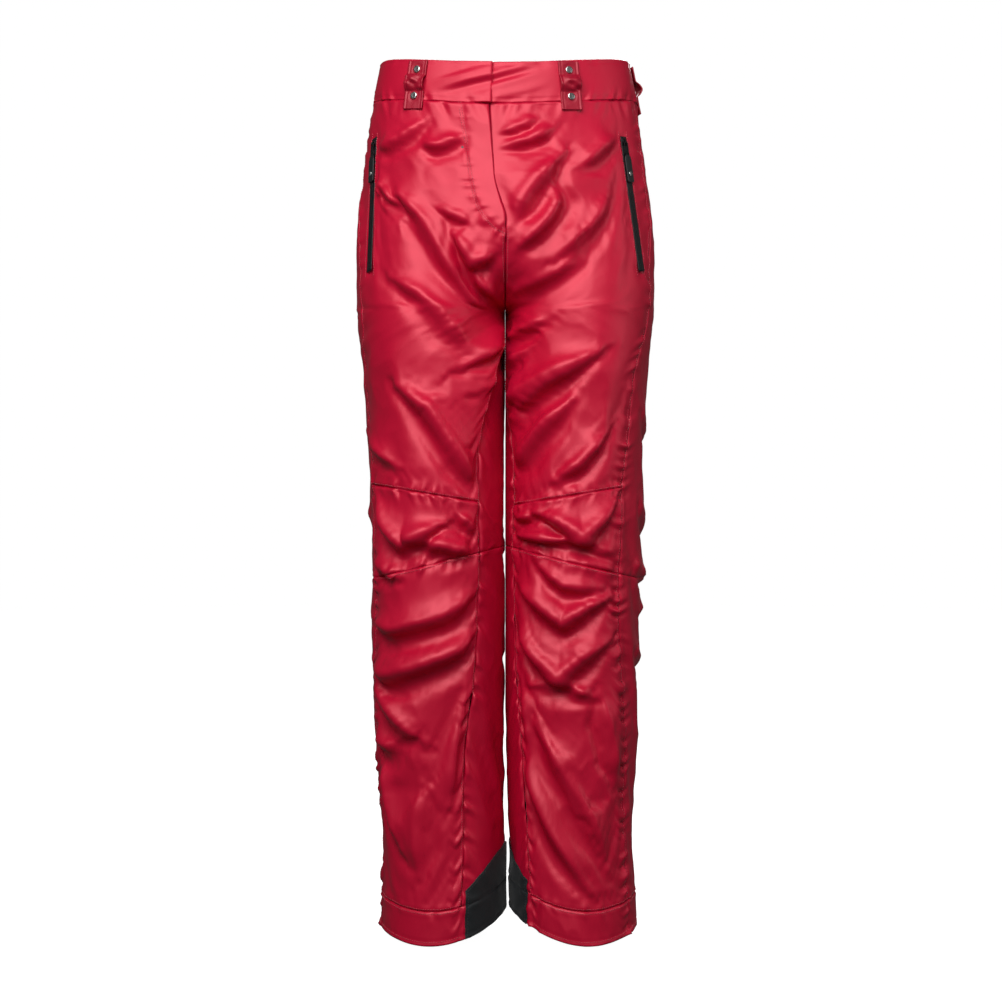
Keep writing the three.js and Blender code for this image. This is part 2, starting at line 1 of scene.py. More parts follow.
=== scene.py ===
"""Women's ski trousers: builds every piece of cloth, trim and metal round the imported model.

Units in this file are millimetres until a mesh is written, which is in metres. A place on the
cloth is given by a side (+1 the wearer's left, -1 the right), a turn g (0 at the centre front or
inside leg, 0.5 at the side, 1 at the centre back) and a drop below the top of the waistband.
"""
import math

import bmesh
import bpy
import numpy as np
from bpy.props import FloatProperty, FloatVectorProperty, PointerProperty
from mathutils import Matrix, Vector


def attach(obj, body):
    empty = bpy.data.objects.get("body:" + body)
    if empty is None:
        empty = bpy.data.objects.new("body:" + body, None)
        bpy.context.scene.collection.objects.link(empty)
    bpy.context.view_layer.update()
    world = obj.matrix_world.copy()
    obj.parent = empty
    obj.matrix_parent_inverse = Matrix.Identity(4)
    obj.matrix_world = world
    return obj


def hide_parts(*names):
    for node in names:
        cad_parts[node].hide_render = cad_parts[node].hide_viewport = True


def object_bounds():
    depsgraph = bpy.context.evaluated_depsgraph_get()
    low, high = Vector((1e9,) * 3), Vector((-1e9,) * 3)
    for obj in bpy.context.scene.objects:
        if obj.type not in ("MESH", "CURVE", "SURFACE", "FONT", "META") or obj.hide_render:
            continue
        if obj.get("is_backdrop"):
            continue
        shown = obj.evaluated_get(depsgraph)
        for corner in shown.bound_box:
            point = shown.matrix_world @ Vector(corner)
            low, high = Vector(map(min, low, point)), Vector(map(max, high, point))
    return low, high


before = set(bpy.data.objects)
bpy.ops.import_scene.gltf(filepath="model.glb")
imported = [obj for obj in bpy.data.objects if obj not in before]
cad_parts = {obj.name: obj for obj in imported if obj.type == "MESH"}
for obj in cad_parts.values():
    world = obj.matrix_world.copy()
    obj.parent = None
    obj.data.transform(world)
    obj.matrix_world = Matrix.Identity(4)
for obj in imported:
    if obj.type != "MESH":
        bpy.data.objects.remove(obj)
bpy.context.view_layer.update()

bl_info = {
    "name": "Ski Trousers",
    "version": (1, 0, 0),
    "blender": (4, 5, 0),
    "location": "3D View > Sidebar > Trousers",
    "description": "Builds a pair of ski trousers in satin-faced cloth, piece by piece",
    "category": "Add Mesh",
}

MM = 0.001

# ---- The cut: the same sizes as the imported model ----
LENGTH = 1026
RISE = 300
WAIST = {"width": 296, "depth": 196}
BAND_FOOT = {"width": 314, "depth": 208}
HIP = {"drop": 240, "width": 361, "depth": 260, "back": 10}
THIGH = {"drop": 405, "width": 162, "depth": 208, "back": 4}
KNEE = {"drop": 560, "width": 156, "depth": 184, "back": -4}
CALF = {"drop": 780, "width": 153, "depth": 174, "back": 9}
ANKLE = {"drop": 925, "width": 146, "depth": 164, "back": 8}
HEM = {"width": 150, "depth": 164, "back": 5}
LEG_GAP = 3
HEM_LEAN = 4
THIGH_BLEND = 80
TURN = 0.037
BODY_WALL = 10.1
BAND_HEIGHT = 48
BAND_PROUD = 1.2
BAND_JOIN = 0.72
WAIST_FRONT_DROP = 19
WAIST_BACK_RISE = 8
HEM_BAND = 38
HEM_INSIDE_RISE = 11
HEM_SIDE_RISE = 10
KNEE_TOP = 515
KNEE_FOOT = 594
KNEE_TOP_SLANT = 13
KNEE_FOOT_SLANT = -19
FLY_LENGTH = 205
FLY_TURN = 0.1             # width of the fly's pieces, as a turn
POCKET = {"top": 92, "foot": 254, "top_turn": 0.355, "foot_turn": 0.375}
FLY_ZIP = {"top": 56, "foot": 198, "top_turn": 0.05, "foot_turn": 0.05}
SIDES = {"left": 1, "right": -1}


def mix(a, b, k):
    return a + (b - a) * k


def ease(x, low, high):
    k = np.clip((np.asarray(x, float) - low) / (high - low), 0, 1)
    return k * k * (3 - 2 * k)


def bell(x, width):
    return np.exp(-(np.asarray(x, float) / width) ** 2)


def through_points(points):
    """A smooth curve through (place, value) points, level past both ends."""
    x = np.array([p[0] for p in points], float)
    y = np.array([p[1] for p in points], float)
    last = len(x) - 1
    before, after = np.maximum(np.arange(last + 1) - 1, 0), np.minimum(np.arange(last + 1) + 1, last)
    slope = (y[after] - y[before]) / (x[after] - x[before])

    def at(place):
        place = np.asarray(place, float)
        i = np.clip(np.searchsorted(x, place, side="right") - 1, 0, last - 1)
        span = x[i + 1] - x[i]
        k = np.clip((place - x[i]) / span, 0, 1)
        ends = y[i] * (1 - k) ** 2 * (1 + 2 * k) + y[i + 1] * k ** 2 * (3 - 2 * k)
        return ends + span * k * (1 - k) * (slope[i] * (1 - k) - slope[i + 1] * k)
    return at


body_width = through_points([(0, WAIST["width"] / 2), (BAND_HEIGHT, BAND_FOOT["width"] / 2),
                             (HIP["drop"], HIP["width"] / 2), (RISE + 90, THIGH["width"] + LEG_GAP)])
body_depth = through_points([(0, WAIST["depth"] / 2), (BAND_HEIGHT, BAND_FOOT["depth"] / 2),
                             (HIP["drop"], HIP["depth"] / 2), (RISE + 90, HIP["depth"] / 2)])
LEG_RINGS = [THIGH, KNEE, CALF, ANKLE, {"drop": LENGTH, **HEM}]
leg_width = through_points([(RISE, (HIP["width"] / 2 - LEG_GAP) * 0.49)]
                           + [(ring["drop"], ring["width"] / 2) for ring in LEG_RINGS])
leg_depth = through_points([(RISE, HIP["depth"] * 0.44)]
                           + [(ring["drop"], ring["depth"] / 2) for ring in LEG_RINGS])
middle_y = through_points([(0, 0), (HIP["drop"], HIP["back"])]
                          + [(ring["drop"], ring["back"]) for ring in LEG_RINGS])

inside_seam = through_points([(RISE, 0), (RISE + 42, 0.075), (457, 0.1), (600, 0.103),
                              (705, 0.112), (820, 0.145), (LENGTH, 0.168)])
outside_seam = through_points([(BAND_HEIGHT, 0.47), (HIP["drop"], 0.425), (400, 0.428),
                               (KNEE_TOP, 0.41), (650, 0.404), (CALF["drop"], 0.43), (LENGTH, 0.455)])


def leg_share(drop, u):
    """0 on the body and 1 on the legs, with the crotch seam as a quarter of an oval."""
    along = np.clip((drop - FLY_LENGTH) / (RISE - FLY_LENGTH), 0, 1)
    at_seam = 1 - np.sqrt(1 - along * along)
    away = ease(drop, FLY_LENGTH - THIGH_BLEND, RISE + THIGH_BLEND)
    return mix(away, at_seam, np.cos(np.pi * u) ** 6)


def turned(drop):
    """The garment is turned a little on the body, except where its halves meet at the crotch."""
    return TURN * np.maximum(1 - ease(drop, FLY_LENGTH * 0.7, FLY_LENGTH), ease(drop, RISE, RISE + 80))


def dip(drop, u):
    """How far a level dips round the body, at the waist, the knee seams and the hem."""
    inside = np.cos(2 * np.pi * u)
    knee_top = KNEE_TOP_SLANT * ease(drop, KNEE_TOP - 100, KNEE_TOP) * (1 - ease(drop, KNEE_TOP, KNEE_FOOT))
    knee_foot = (KNEE_FOOT_SLANT * ease(drop, KNEE_TOP, KNEE_FOOT)
                 * (1 - ease(drop, KNEE_FOOT, KNEE_FOOT + 120)))
    hem = ease(drop, LENGTH - 160, LENGTH)
    hem_dip = -HEM_INSIDE_RISE * inside - HEM_SIDE_RISE * np.cos(4 * np.pi * u)
    forward = np.cos(np.pi * u)
    waist_dip = forward ** 2 * np.where(forward > 0, WAIST_FRONT_DROP, -WAIST_BACK_RISE)
    return ((knee_top + knee_foot) * inside + hem * hem_dip
            + waist_dip * (1 - ease(drop, BAND_HEIGHT, FLY_LENGTH)))


def smooth_surface(side, g, drop):
    g, drop = np.broadcast_arrays(np.asarray(g, float), np.asarray(drop, float))
    u = g - side * turned(drop)
    leg = leg_share(drop, u)
    body_x = body_width(drop) * np.sin(np.pi * u)
    body_y = -body_depth(drop) * np.cos(np.pi * u)
    leg_x = LEG_GAP + 2 * leg_width(drop) * np.sin(np.pi * u) ** 2
    leg_y = -leg_depth(drop) * np.sin(2 * np.pi * u)
    lean = HEM_LEAN * ease(drop, CALF["drop"], LENGTH)
    return np.stack([side * mix(body_x, leg_x, leg) + lean,
                     middle_y(drop) + mix(body_y, leg_y, leg), -drop - dip(drop, u)], axis=-1)


ZIP_LINES = [{"side": -1, **FLY_ZIP}] + [{"side": side, **POCKET} for side in SIDES.values()]
STRAIGHT_REACH = 0.025
STRAIGHT_FADE = 0.08
STRAIGHT_RUNOUT = 30


def line_share(line, drop):
    return (np.asarray(drop, float) - line["top"]) / (line["foot"] - line["top"])


def zip_turns(line, drop):
    return mix(line["top_turn"], line["foot_turn"], line_share(line, drop))


def line_point(line, drop):
    top = smooth_surface(line["side"], line["top_turn"], line["top"])
    foot = smooth_surface(line["side"], line["foot_turn"], line["foot"])
    return mix(top, foot, line_share(line, drop)[..., None])


def surface(side, g, drop):
    """The outside of the smooth cloth, drawn straight along each zip."""
    g, drop = np.broadcast_arrays(np.asarray(g, float), np.asarray(drop, float))
    point = smooth_surface(side, g, drop)
    for line in ZIP_LINES:
        turn = zip_turns(line, drop)
        across = np.abs(side * g - line["side"] * turn)
        along = (ease(drop, line["top"] - STRAIGHT_RUNOUT, line["top"])
                 * (1 - ease(drop, line["foot"], line["foot"] + STRAIGHT_RUNOUT)))
        share = along * (1 - ease(across, STRAIGHT_REACH, STRAIGHT_FADE))
        shift = line_point(line, drop) - smooth_surface(line["side"], turn, drop)
        point = point + shift * share[..., None]
    return point


def unit(vectors):
    return vectors / np.maximum(np.linalg.norm(vectors, axis=-1, keepdims=True), 1e-9)


def outward(side, g, drop):
    around = surface(side, np.asarray(g) + 0.004, drop) - surface(side, np.asarray(g) - 0.004, drop)
    down = surface(side, g, np.asarray(drop) + 1.0) - surface(side, g, np.asarray(drop) - 1.0)
    return unit(np.cross(down, around)) * side


# ---- Grids of cloth ----
def finer(grid, steps):
    """More rows between the given ones, on a smooth curve through them."""
    padded = np.concatenate([2 * grid[:1] - grid[1:2], grid, 2 * grid[-1:] - grid[-2:-1]])
    before, here, after, beyond = padded[:-3], padded[1:-2], padded[2:-1], padded[3:]
    rows = []
    for k in np.arange(steps) / steps:
        rows.append(0.5 * (2 * here + (after - before) * k
                           + (2 * before - 5 * here + 4 * after - beyond) * k ** 2
                           + (3 * here - before - 3 * after + beyond) * k ** 3))
    filled = np.stack(rows, axis=1).reshape(-1, *grid.shape[1:])
    return np.concatenate([filled, grid[-1:]])


def finer_grid(grid, steps):
    return np.swapaxes(finer(np.swapaxes(finer(grid, steps), 0, 1), steps), 0, 1)


def grid_normals(points, side):
    """Outward directions of a grid whose rows go down and whose columns go round."""
    down = np.gradient(points, axis=0)
    around = np.gradient(points, axis=1)
    return unit(np.cross(down, around)) * side


def run_length(points, axis):
    """Distance travelled along the rows (axis 1) or the columns (axis 0), in millimetres."""
    steps = np.linalg.norm(np.diff(points, axis=axis), axis=-1)
    start = np.zeros_like(np.take(steps, [0], axis=axis))
    return np.concatenate([start, np.cumsum(steps, axis=axis)], axis=axis)


def ripple(place, spacing, seed):
    """Uneven waves between -1 and 1 along a line, about two spacings long."""
    knots = np.random.default_rng(seed).uniform(-1, 1, 4096)
    at = np.asarray(place, float) / spacing + 2000
    i = np.floor(at).astype(int)
    k = at - i
    return mix(knots[i % 4096], knots[(i + 1) % 4096], k * k * (3 - 2 * k))


def crumple(a, b, size, seed):
    """Uneven soft hills between -1 and 1 over a surface."""
    knots = np.random.default_rng(seed).uniform(-1, 1, (128, 128))
    a, b = a / size + 500, b / size + 500
    i, j = np.floor(a).astype(int), np.floor(b).astype(int)
    k, m = a - i, b - j
    k, m = k * k * (3 - 2 * k), m * m * (3 - 2 * m)
    low = mix(knots[i % 128, j % 128], knots[(i + 1) % 128, j % 128], k)
    high = mix(knots[i % 128, (j + 1) % 128], knots[(i + 1) % 128, (j + 1) % 128], k)
    return mix(low, high, m)


def creases(a, b, size, seed):
    """Sharp-edged hills: plateaus that meet in creases, as stiff smooth cloth makes."""
    return 0.9 - 1.8 * np.abs(crumple(a + 0.5 * b, b - 0.3 * a, size, seed))


# ---- Mesh helpers ----
def new_object(name, mesh, material=None, smooth=True):
    obj = bpy.data.objects.new(name, mesh)
    bpy.context.scene.collection.objects.link(obj)
    if smooth:
        mesh.shade_smooth()
    if material:
        mesh.materials.append(material)
    return obj


def mesh_from_faces(name, points, faces, uv=None):
    """A mesh from points in millimetres; uv gives each point its place on the cloth in metres."""
    mesh = bpy.data.meshes.new(name)
    mesh.from_pydata((np.asarray(points) * MM).tolist(), [], faces)
    if uv is not None:
        layer = mesh.uv_layers.new(name="Cloth")
        loops = np.empty(len(mesh.loops), int)
        mesh.loops.foreach_get("vertex_index", loops)
        layer.data.foreach_set("uv", np.asarray(uv)[loops].ravel())
    mesh.validate()
    mesh.update()
    return mesh


def grid_faces(rows, columns, flip=False, start=0, closed=False):
    i, j = np.meshgrid(np.arange(rows - 1), np.arange(columns if closed else columns - 1), indexing="ij")
    right = (j + 1) % columns
    quads = np.stack([i * columns + j, (i + 1) * columns + j, (i + 1) * columns + right,
                      i * columns + right], axis=-1).reshape(-1, 4) + start
    return quads[:, ::-1] if flip else quads


def cloth_solid(name, outer, inner, side, material=None, closed=False):
    """A closed solid between two grids, its edges closed by flat strips; closed=True goes right round."""
    rows, columns = outer.shape[:2]
    half = rows * columns
    turn_over = side < 0
    faces = [grid_faces(rows, columns, turn_over, 0, closed),
             grid_faces(rows, columns, not turn_over, half, closed)]

    def rim(a, b):
        strip = np.stack([a[:-1], a[1:], b[1:], b[:-1]], axis=-1)
        return strip[:, ::-1] if turn_over else strip
    index = np.arange(half).reshape(rows, columns)
    top, foot = index[0], index[-1]
    if closed:
        top, foot = np.append(top, top[0]), np.append(foot, foot[0])
    faces += [rim(top, top + half), rim(foot + half, foot)]
    if not closed:
        faces += [rim(index[:, 0] + half, index[:, 0]), rim(index[:, -1], index[:, -1] + half)]
    across = run_length(outer, 1) - run_length(outer, 1).mean(axis=1, keepdims=True)
    uv = np.stack([across, -run_length(outer, 0)], axis=-1).reshape(-1, 2) * MM
    points = np.concatenate([outer.reshape(-1, 3), inner.reshape(-1, 3)])
    mesh = mesh_from_faces(name, points, np.concatenate(faces).tolist(), np.concatenate([uv, uv]))
    return new_object(name, mesh, material)


# ---- The shell cloth: folds, drape and seam puckers ----
AROUND = 520               # about how far the cloth goes round for a turn of 1
SHELL_THICK = 0.9
FINE = 3                   # fine rows and columns for each one that is draped
FRONT_COLUMNS = 30
BACK_COLUMNS = 48
ROW_STEPS = [(BAND_HEIGHT, RISE, 36), (RISE, KNEE_TOP, 31), (KNEE_TOP, KNEE_FOOT, 12),
             (KNEE_FOOT, LENGTH - HEM_BAND, 56), (LENGTH - HEM_BAND, LENGTH, 6)]
ROW_DROPS = np.concatenate([np.linspace(top, foot, steps + 1)[:-1] for top, foot, steps in ROW_STEPS]
                           + [[LENGTH]])

# Each fold: side, its line as (turn, drop) points, its height and its width.
FOLDS = [
    # the front of the body, right half
    ("right", [(0.11, 216), (0.07, 246), (0.012, 238)], 6.5, 9),
    ("right", [(0.1, 240), (0.065, 270), (0.03, 288)], 5, 9),
    ("right", [(0.29, 176), (0.22, 166), (0.16, 222), (0.11, 290)], 5, 15),
    ("right", [(0.31, 262), (0.24, 282), (0.19, 318), (0.14, 344)], 5, 13),
    ("right", [(0.16, 100), (0.12, 104), (0.07, 92)], 4.5, 9),
    ("right", [(0.32, 108), (0.22, 92), (0.15, 70)], 4, 10),
    ("right", [(0.33, 164), (0.28, 152), (0.25, 176)], 4, 9),
    ("right", [(0.14, 186), (0.1, 196), (0.07, 205)], 3, 8),
    # the front of the body, left half
    ("left", [(0.0, 207), (0.04, 182), (0.1, 150), (0.17, 110)], 6.5, 11),
    ("left", [(0.01, 240), (0.06, 214), (0.12, 178), (0.14, 138)], 6, 11),
    ("left", [(0.11, 242), (0.19, 206), (0.27, 164)], 4.5, 13),
    ("left", [(0.03, 104), (0.1, 92), (0.15, 78)], 4, 9),
    ("left", [(0.02, 86), (0.06, 78), (0.11, 66)], 3, 7),
    ("left", [(0.2, 132), (0.27, 104), (0.32, 96)], 4, 12),
    ("left", [(0.03, 278), (0.13, 256), (0.22, 220)], 3.5, 14),
    # thighs
    ("right", [(0.29, 388), (0.22, 414), (0.17, 456), (0.1, 506)], 7, 13),
    ("right", [(0.03, 312), (0.1, 342), (0.15, 366)], 5, 10),
    ("right", [(0.01, 350), (0.06, 372), (0.13, 396)], 5, 9),
    ("right", [(0.0, 396), (0.06, 420), (0.13, 452)], 5, 9),
    ("right", [(0.0, 440), (0.06, 462), (0.12, 484)], 4.5, 9),
    ("right", [(0.45, 440), (0.38, 462), (0.3, 488)], 4, 12),
    ("left", [(0.08, 408), (0.14, 398), (0.23, 372), (0.31, 350)], 6.5, 13),
    ("left", [(0.06, 436), (0.14, 418), (0.22, 384), (0.29, 366)], 5.5, 12),
    ("left", [(0.09, 478), (0.15, 460), (0.21, 430), (0.27, 402)], 6, 12),
    ("left", [(0.24, 494), (0.29, 478), (0.35, 444)], 6, 11),
    ("left", [(0.06, 332), (0.11, 322), (0.17, 310)], 4, 9),
    ("left", [(0.05, 372), (0.1, 362), (0.15, 346)], 4, 9),
    # knees
    ("right", [(0.38, 522), (0.34, 548), (0.29, 566), (0.23, 554), (0.19, 546)], 8, 9),
    ("right", [(0.27, 562), (0.2, 572), (0.12, 592)], 7, 10),
    ("right", [(0.4, 576), (0.35, 586), (0.3, 600)], 5, 8),
    ("right", [(0.16, 532), (0.13, 548), (0.11, 566)], 4, 9),
    ("left", [(0.19, 528), (0.24, 540), (0.3, 560), (0.36, 538), (0.39, 522)], 8, 10),
    ("left", [(0.11, 574), (0.19, 570), (0.3, 566), (0.39, 574)], 7, 8),
    ("left", [(0.11, 540), (0.15, 534), (0.2, 530)], 4, 8),
    # shins
    ("right", [(0.42, 650), (0.32, 664), (0.2, 652), (0.1, 630)], 8, 15),
    ("right", [(0.43, 712), (0.34, 722), (0.26, 710), (0.16, 690), (0.08, 668)], 8.5, 14),
    ("right", [(0.43, 720), (0.36, 752), (0.29, 782), (0.24, 800)], 6.5, 14),
    ("right", [(0.42, 800), (0.35, 806), (0.28, 792)], 5, 12),
    ("right", [(0.38, 826), (0.36, 876), (0.32, 926)], 5, 13),
    ("right", [(0.26, 850), (0.28, 900), (0.28, 950)], 4, 14),
    ("right", [(0.13, 740), (0.17, 800), (0.19, 872)], 5.5, 11),
    ("right", [(0.1, 815), (0.13, 880), (0.15, 950)], 5, 11),
    ("left", [(0.12, 628), (0.19, 642), (0.26, 662), (0.31, 640), (0.38, 622)], 7.5, 11),
    ("left", [(0.12, 668), (0.18, 694), (0.25, 722), (0.3, 700), (0.38, 678)], 7.5, 12),
    ("left", [(0.17, 736), (0.25, 728), (0.33, 748)], 6, 10),
    ("left", [(0.2, 606), (0.26, 620), (0.34, 616)], 5, 10),
    ("left", [(0.13, 800), (0.18, 850), (0.24, 905), (0.33, 968)], 6, 13),
    ("left", [(0.2, 780), (0.27, 840), (0.33, 885), (0.38, 945)], 5.5, 14),
    ("left", [(0.35, 746), (0.38, 800), (0.4, 850)], 5, 12),
    ("left", [(0.14, 740), (0.16, 770), (0.17, 812)], 4, 10),
    # the back: seat, behind the knee and calf, on both legs
    ("left", [(0.96, 300), (0.88, 318), (0.78, 306)], 7, 14),
    ("left", [(0.98, 340), (0.88, 362), (0.76, 350)], 6, 14),
    ("left", [(0.94, 236), (0.84, 262), (0.72, 280)], 5, 16),
    ("left", [(0.55, 170), (0.66, 210), (0.74, 236)], 4, 15),
    ("left", [(0.5, 420), (0.6, 448), (0.72, 440), (0.86, 420)], 5, 15),
    ("left", [(0.5, 536), (0.6, 552), (0.74, 544), (0.9, 560)], 7, 13),
    ("left", [(0.48, 582), (0.62, 596), (0.78, 584), (0.95, 604)], 8, 13),
    ("left", [(0.52, 640), (0.66, 628), (0.82, 646)], 6, 13),
    ("left", [(0.5, 700), (0.62, 716), (0.78, 700), (0.94, 690)], 6, 15),
    ("left", [(0.56, 790), (0.68, 806), (0.84, 780)], 5, 15),
    ("left", [(0.6, 850), (0.63, 900), (0.62, 960)], 4, 15),
    ("left", [(0.84, 840), (0.86, 900), (0.83, 955)], 4, 15),
    ("right", [(0.96, 310), (0.87, 326), (0.79, 310)], 7, 14),
    ("right", [(0.98, 350), (0.9, 366), (0.74, 362)], 6, 14),
    ("right", [(0.93, 244), (0.82, 266), (0.71, 270)], 5, 16),
    ("right", [(0.56, 160), (0.65, 206), (0.75, 226)], 4, 15),
    ("right", [(0.52, 430), (0.63, 452), (0.75, 432), (0.88, 430)], 5, 15),
    ("right", [(0.48, 540), (0.62, 548), (0.76, 538), (0.92, 552)], 7, 13),
    ("right", [(0.5, 588), (0.64, 590), (0.8, 578), (0.97, 596)], 8, 13),
    ("right", [(0.5, 630), (0.64, 640), (0.84, 636)], 6, 13),
    ("right", [(0.52, 706), (0.66, 712), (0.8, 694), (0.96, 700)], 6, 15),
    ("right", [(0.54, 784), (0.7, 800), (0.86, 786)], 5, 15),
    ("right", [(0.58, 846), (0.62, 905), (0.64, 960)], 4, 15),
    ("right", [(0.86, 836), (0.84, 896), (0.85, 958)], 4, 15),
]


FOLD_STRENGTH = 1.5


def line_distance(line, across, down):
    """Signed distance from a line (positive below it) and the share of the way along it."""
    points = np.array(line, float)
    lengths = np.linalg.norm(np.diff(points, axis=0), axis=1)
    best = np.full(np.shape(across), 1e9)
    signed, share, run = np.zeros_like(best), np.zeros_like(best), 0.0
    for start, end, length in zip(points[:-1], points[1:], lengths):
        way = (end - start) / length
        along = np.clip((across - start[0]) * way[0] + (down - start[1]) * way[1], 0, length)
        off_x, off_y = across - start[0] - way[0] * along, down - start[1] - way[1] * along
        distance = np.hypot(off_x, off_y)
        sign = np.sign(way[0] * off_y - way[1] * off_x) * (1 if way[0] >= 0 else -1)
        nearer = distance < best
        signed = np.where(nearer, distance * sign, signed)
        share = np.where(nearer, (run + along) / lengths.sum(), share)
        best = np.minimum(best, distance)
        run += length
    return signed, share


def fold_height(side, turns, drops):
    """How far the folds stand out: each a ridge with a softer hollow under it."""
    height = np.zeros_like(turns)
    for name, line, tall, wide in FOLDS:
        if SIDES[name] != side:
            continue
        signed, share = line_distance([(g * AROUND, drop) for g, drop in line], turns * AROUND, drops)
        ends = ease(share, 0, 0.3) * (1 - ease(share, 0.7, 1))
        spread = wide * (0.55 + 0.45 * ends)
        x = signed / spread
        ridge = np.exp(-np.abs(x) ** 1.1) - 0.8 * np.exp(-((x - 1.6) / 0.85) ** 2)
        height += FOLD_STRENGTH * tall * (0.25 + 0.75 * ends) * ridge
    return height


def half_places():
    """The turns and drops of one half's grid, with a row at every seam."""
    drops = ROW_DROPS
    inside, outside = inside_seam(drops)[:, None], outside_seam(drops)[:, None]
    front = mix(inside, outside, np.arange(FRONT_COLUMNS) / FRONT_COLUMNS)
    back = mix(outside, 1 + inside, np.arange(BACK_COLUMNS + 1) / BACK_COLUMNS)
    turns = np.concatenate([front, back], axis=1)
    return turns, np.broadcast_to(drops[:, None], turns.shape).copy()


def row_of(drop):
    row = 0
    for top, _, steps in ROW_STEPS:
        if drop <= top:
            break
        row += steps
    return row


def past_pocket_zip(drops):
    return np.maximum(0, np.maximum(POCKET["top"] - drops, drops - POCKET["foot"]))


def to_pocket_zip(turns, drops):
    """About how far a place on the cloth is from the pocket zip, in millimetres."""
    return np.hypot((turns - zip_turns(POCKET, drops)) * AROUND, past_pocket_zip(drops))


def seam_hold(turns, drops):
    """1 on the seams, which hold the cloth, and 0 away from them."""
    hold = np.zeros_like(turns)
    hold[[0, -1]] = 1
    hold[:, [0, FRONT_COLUMNS, -1]] = 1
    for seam in (KNEE_TOP, KNEE_FOOT, LENGTH - HEM_BAND):
        hold[row_of(seam), :FRONT_COLUMNS + 1] = 1
    hold[row_of(LENGTH - HEM_BAND):] = 1
    beside = np.abs(turns - zip_turns(POCKET, drops)) * AROUND < 9
    hold[beside & (drops > POCKET["top"] - 8) & (drops < POCKET["foot"] + 8)] = 1
    return hold


# How much longer than the body the cloth is cut, which makes it fold where it is held.
SPARE_LENGTH = [(BAND_HEIGHT, 1.0), (120, 1.015), (RISE, 1.03), (430, 1.03), (KNEE_TOP, 1.05),
                (KNEE_FOOT, 1.09), (700, 1.075), (800, 1.05), (LENGTH - HEM_BAND, 1.02), (LENGTH, 1.0)]
SPARE_WIDTH = 1.012
DRAPE_FRAMES = 14
DRAPE_CLOTH = {"quality": 6, "mass": 0.2, "tension_stiffness": 25, "compression_stiffness": 12,
               "shear_stiffness": 6, "bending_stiffness": 0.25, "air_damping": 2,
               "use_pressure": True, "uniform_pressure_force": 1.2}
DRAPE_GRAVITY = 0.12       # little, because the filled-out cloth mostly carries itself
DRAPE_IN, DRAPE_IN_LOW, DRAPE_OUT = 7.0, 4.0, 12.0


def cloth_start(name, side, start, cut, hold):
    """An object whose cloth starts at one shape and was cut to another."""
    rows, columns = start.shape[:2]
    mesh = mesh_from_faces(name, start.reshape(-1, 3), grid_faces(rows, columns, side < 0).tolist())
    obj = new_object(name, mesh)
    obj.shape_key_add(name="worn")
    key = obj.shape_key_add(name="cut")
    key.data.foreach_set("co", (cut.reshape(-1, 3) * MM).ravel())
    key.value = 0
    group = obj.vertex_groups.new(name="seams")
    held = np.flatnonzero(hold.ravel() > 0.5)
    group.add(held.tolist(), 1.0, "REPLACE")
    cloth = obj.modifiers.new("Drape", "CLOTH")
    cloth.settings.rest_shape_key = key
    cloth.settings.vertex_group_mass = "seams"
    for setting, value in DRAPE_CLOTH.items():
        setattr(cloth.settings, setting, value)
    cloth.settings.effector_weights.gravity = DRAPE_GRAVITY
    cloth.collision_settings.use_collision = False
    return obj


def closed_up(points, turns, drops, side):
    """Brings the two halves together at the crotch and the inner thighs, where they touch."""
    level = ease(drops, FLY_LENGTH - 25, FLY_LENGTH + 10) * (1 - ease(drops, 375, 460))
    room = side * points[..., 0]
    to_seam = np.minimum(np.abs(turns), np.abs(1 - turns))
    for seam_half in (turns < 0.5, turns >= 0.5):
        own = np.where(seam_half & (to_seam < 0.12), room, 1e6)
        nearest = own.min(axis=1, keepdims=True)
        spare = np.clip(nearest - TOUCH, 0, 9)
        room = room - np.where(seam_half, spare * level * bell(room - nearest, 22), 0)
    points = points.copy()
    points[..., 0] = side * np.where(drops > FLY_LENGTH, np.maximum(room, TOUCH), room)
    return points


TOUCH = 0.12               # half the gap that stays where the halves meet


def drape(halves):
    """Lets the cloth of both halves settle, and gives their points back in millimetres."""
    objects = [cloth_start(f"drape_{half['name']}", half["side"], half["start"], half["cut"], half["hold"])
               for half in halves]
    scene = bpy.context.scene
    for frame_number in range(1, DRAPE_FRAMES + 1):
        scene.frame_set(frame_number)
    view = bpy.context.evaluated_depsgraph_get()
    for half, obj in zip(halves, objects):
        mesh = obj.evaluated_get(view).data
        points = np.empty(len(mesh.vertices) * 3)
        mesh.vertices.foreach_get("co", points)
        half["settled"] = points.reshape(half["start"].shape) / MM
    for obj in objects:
        mesh = obj.data
        bpy.data.objects.remove(obj)
        bpy.data.meshes.remove(mesh)
    scene.frame_set(1)
    return halves


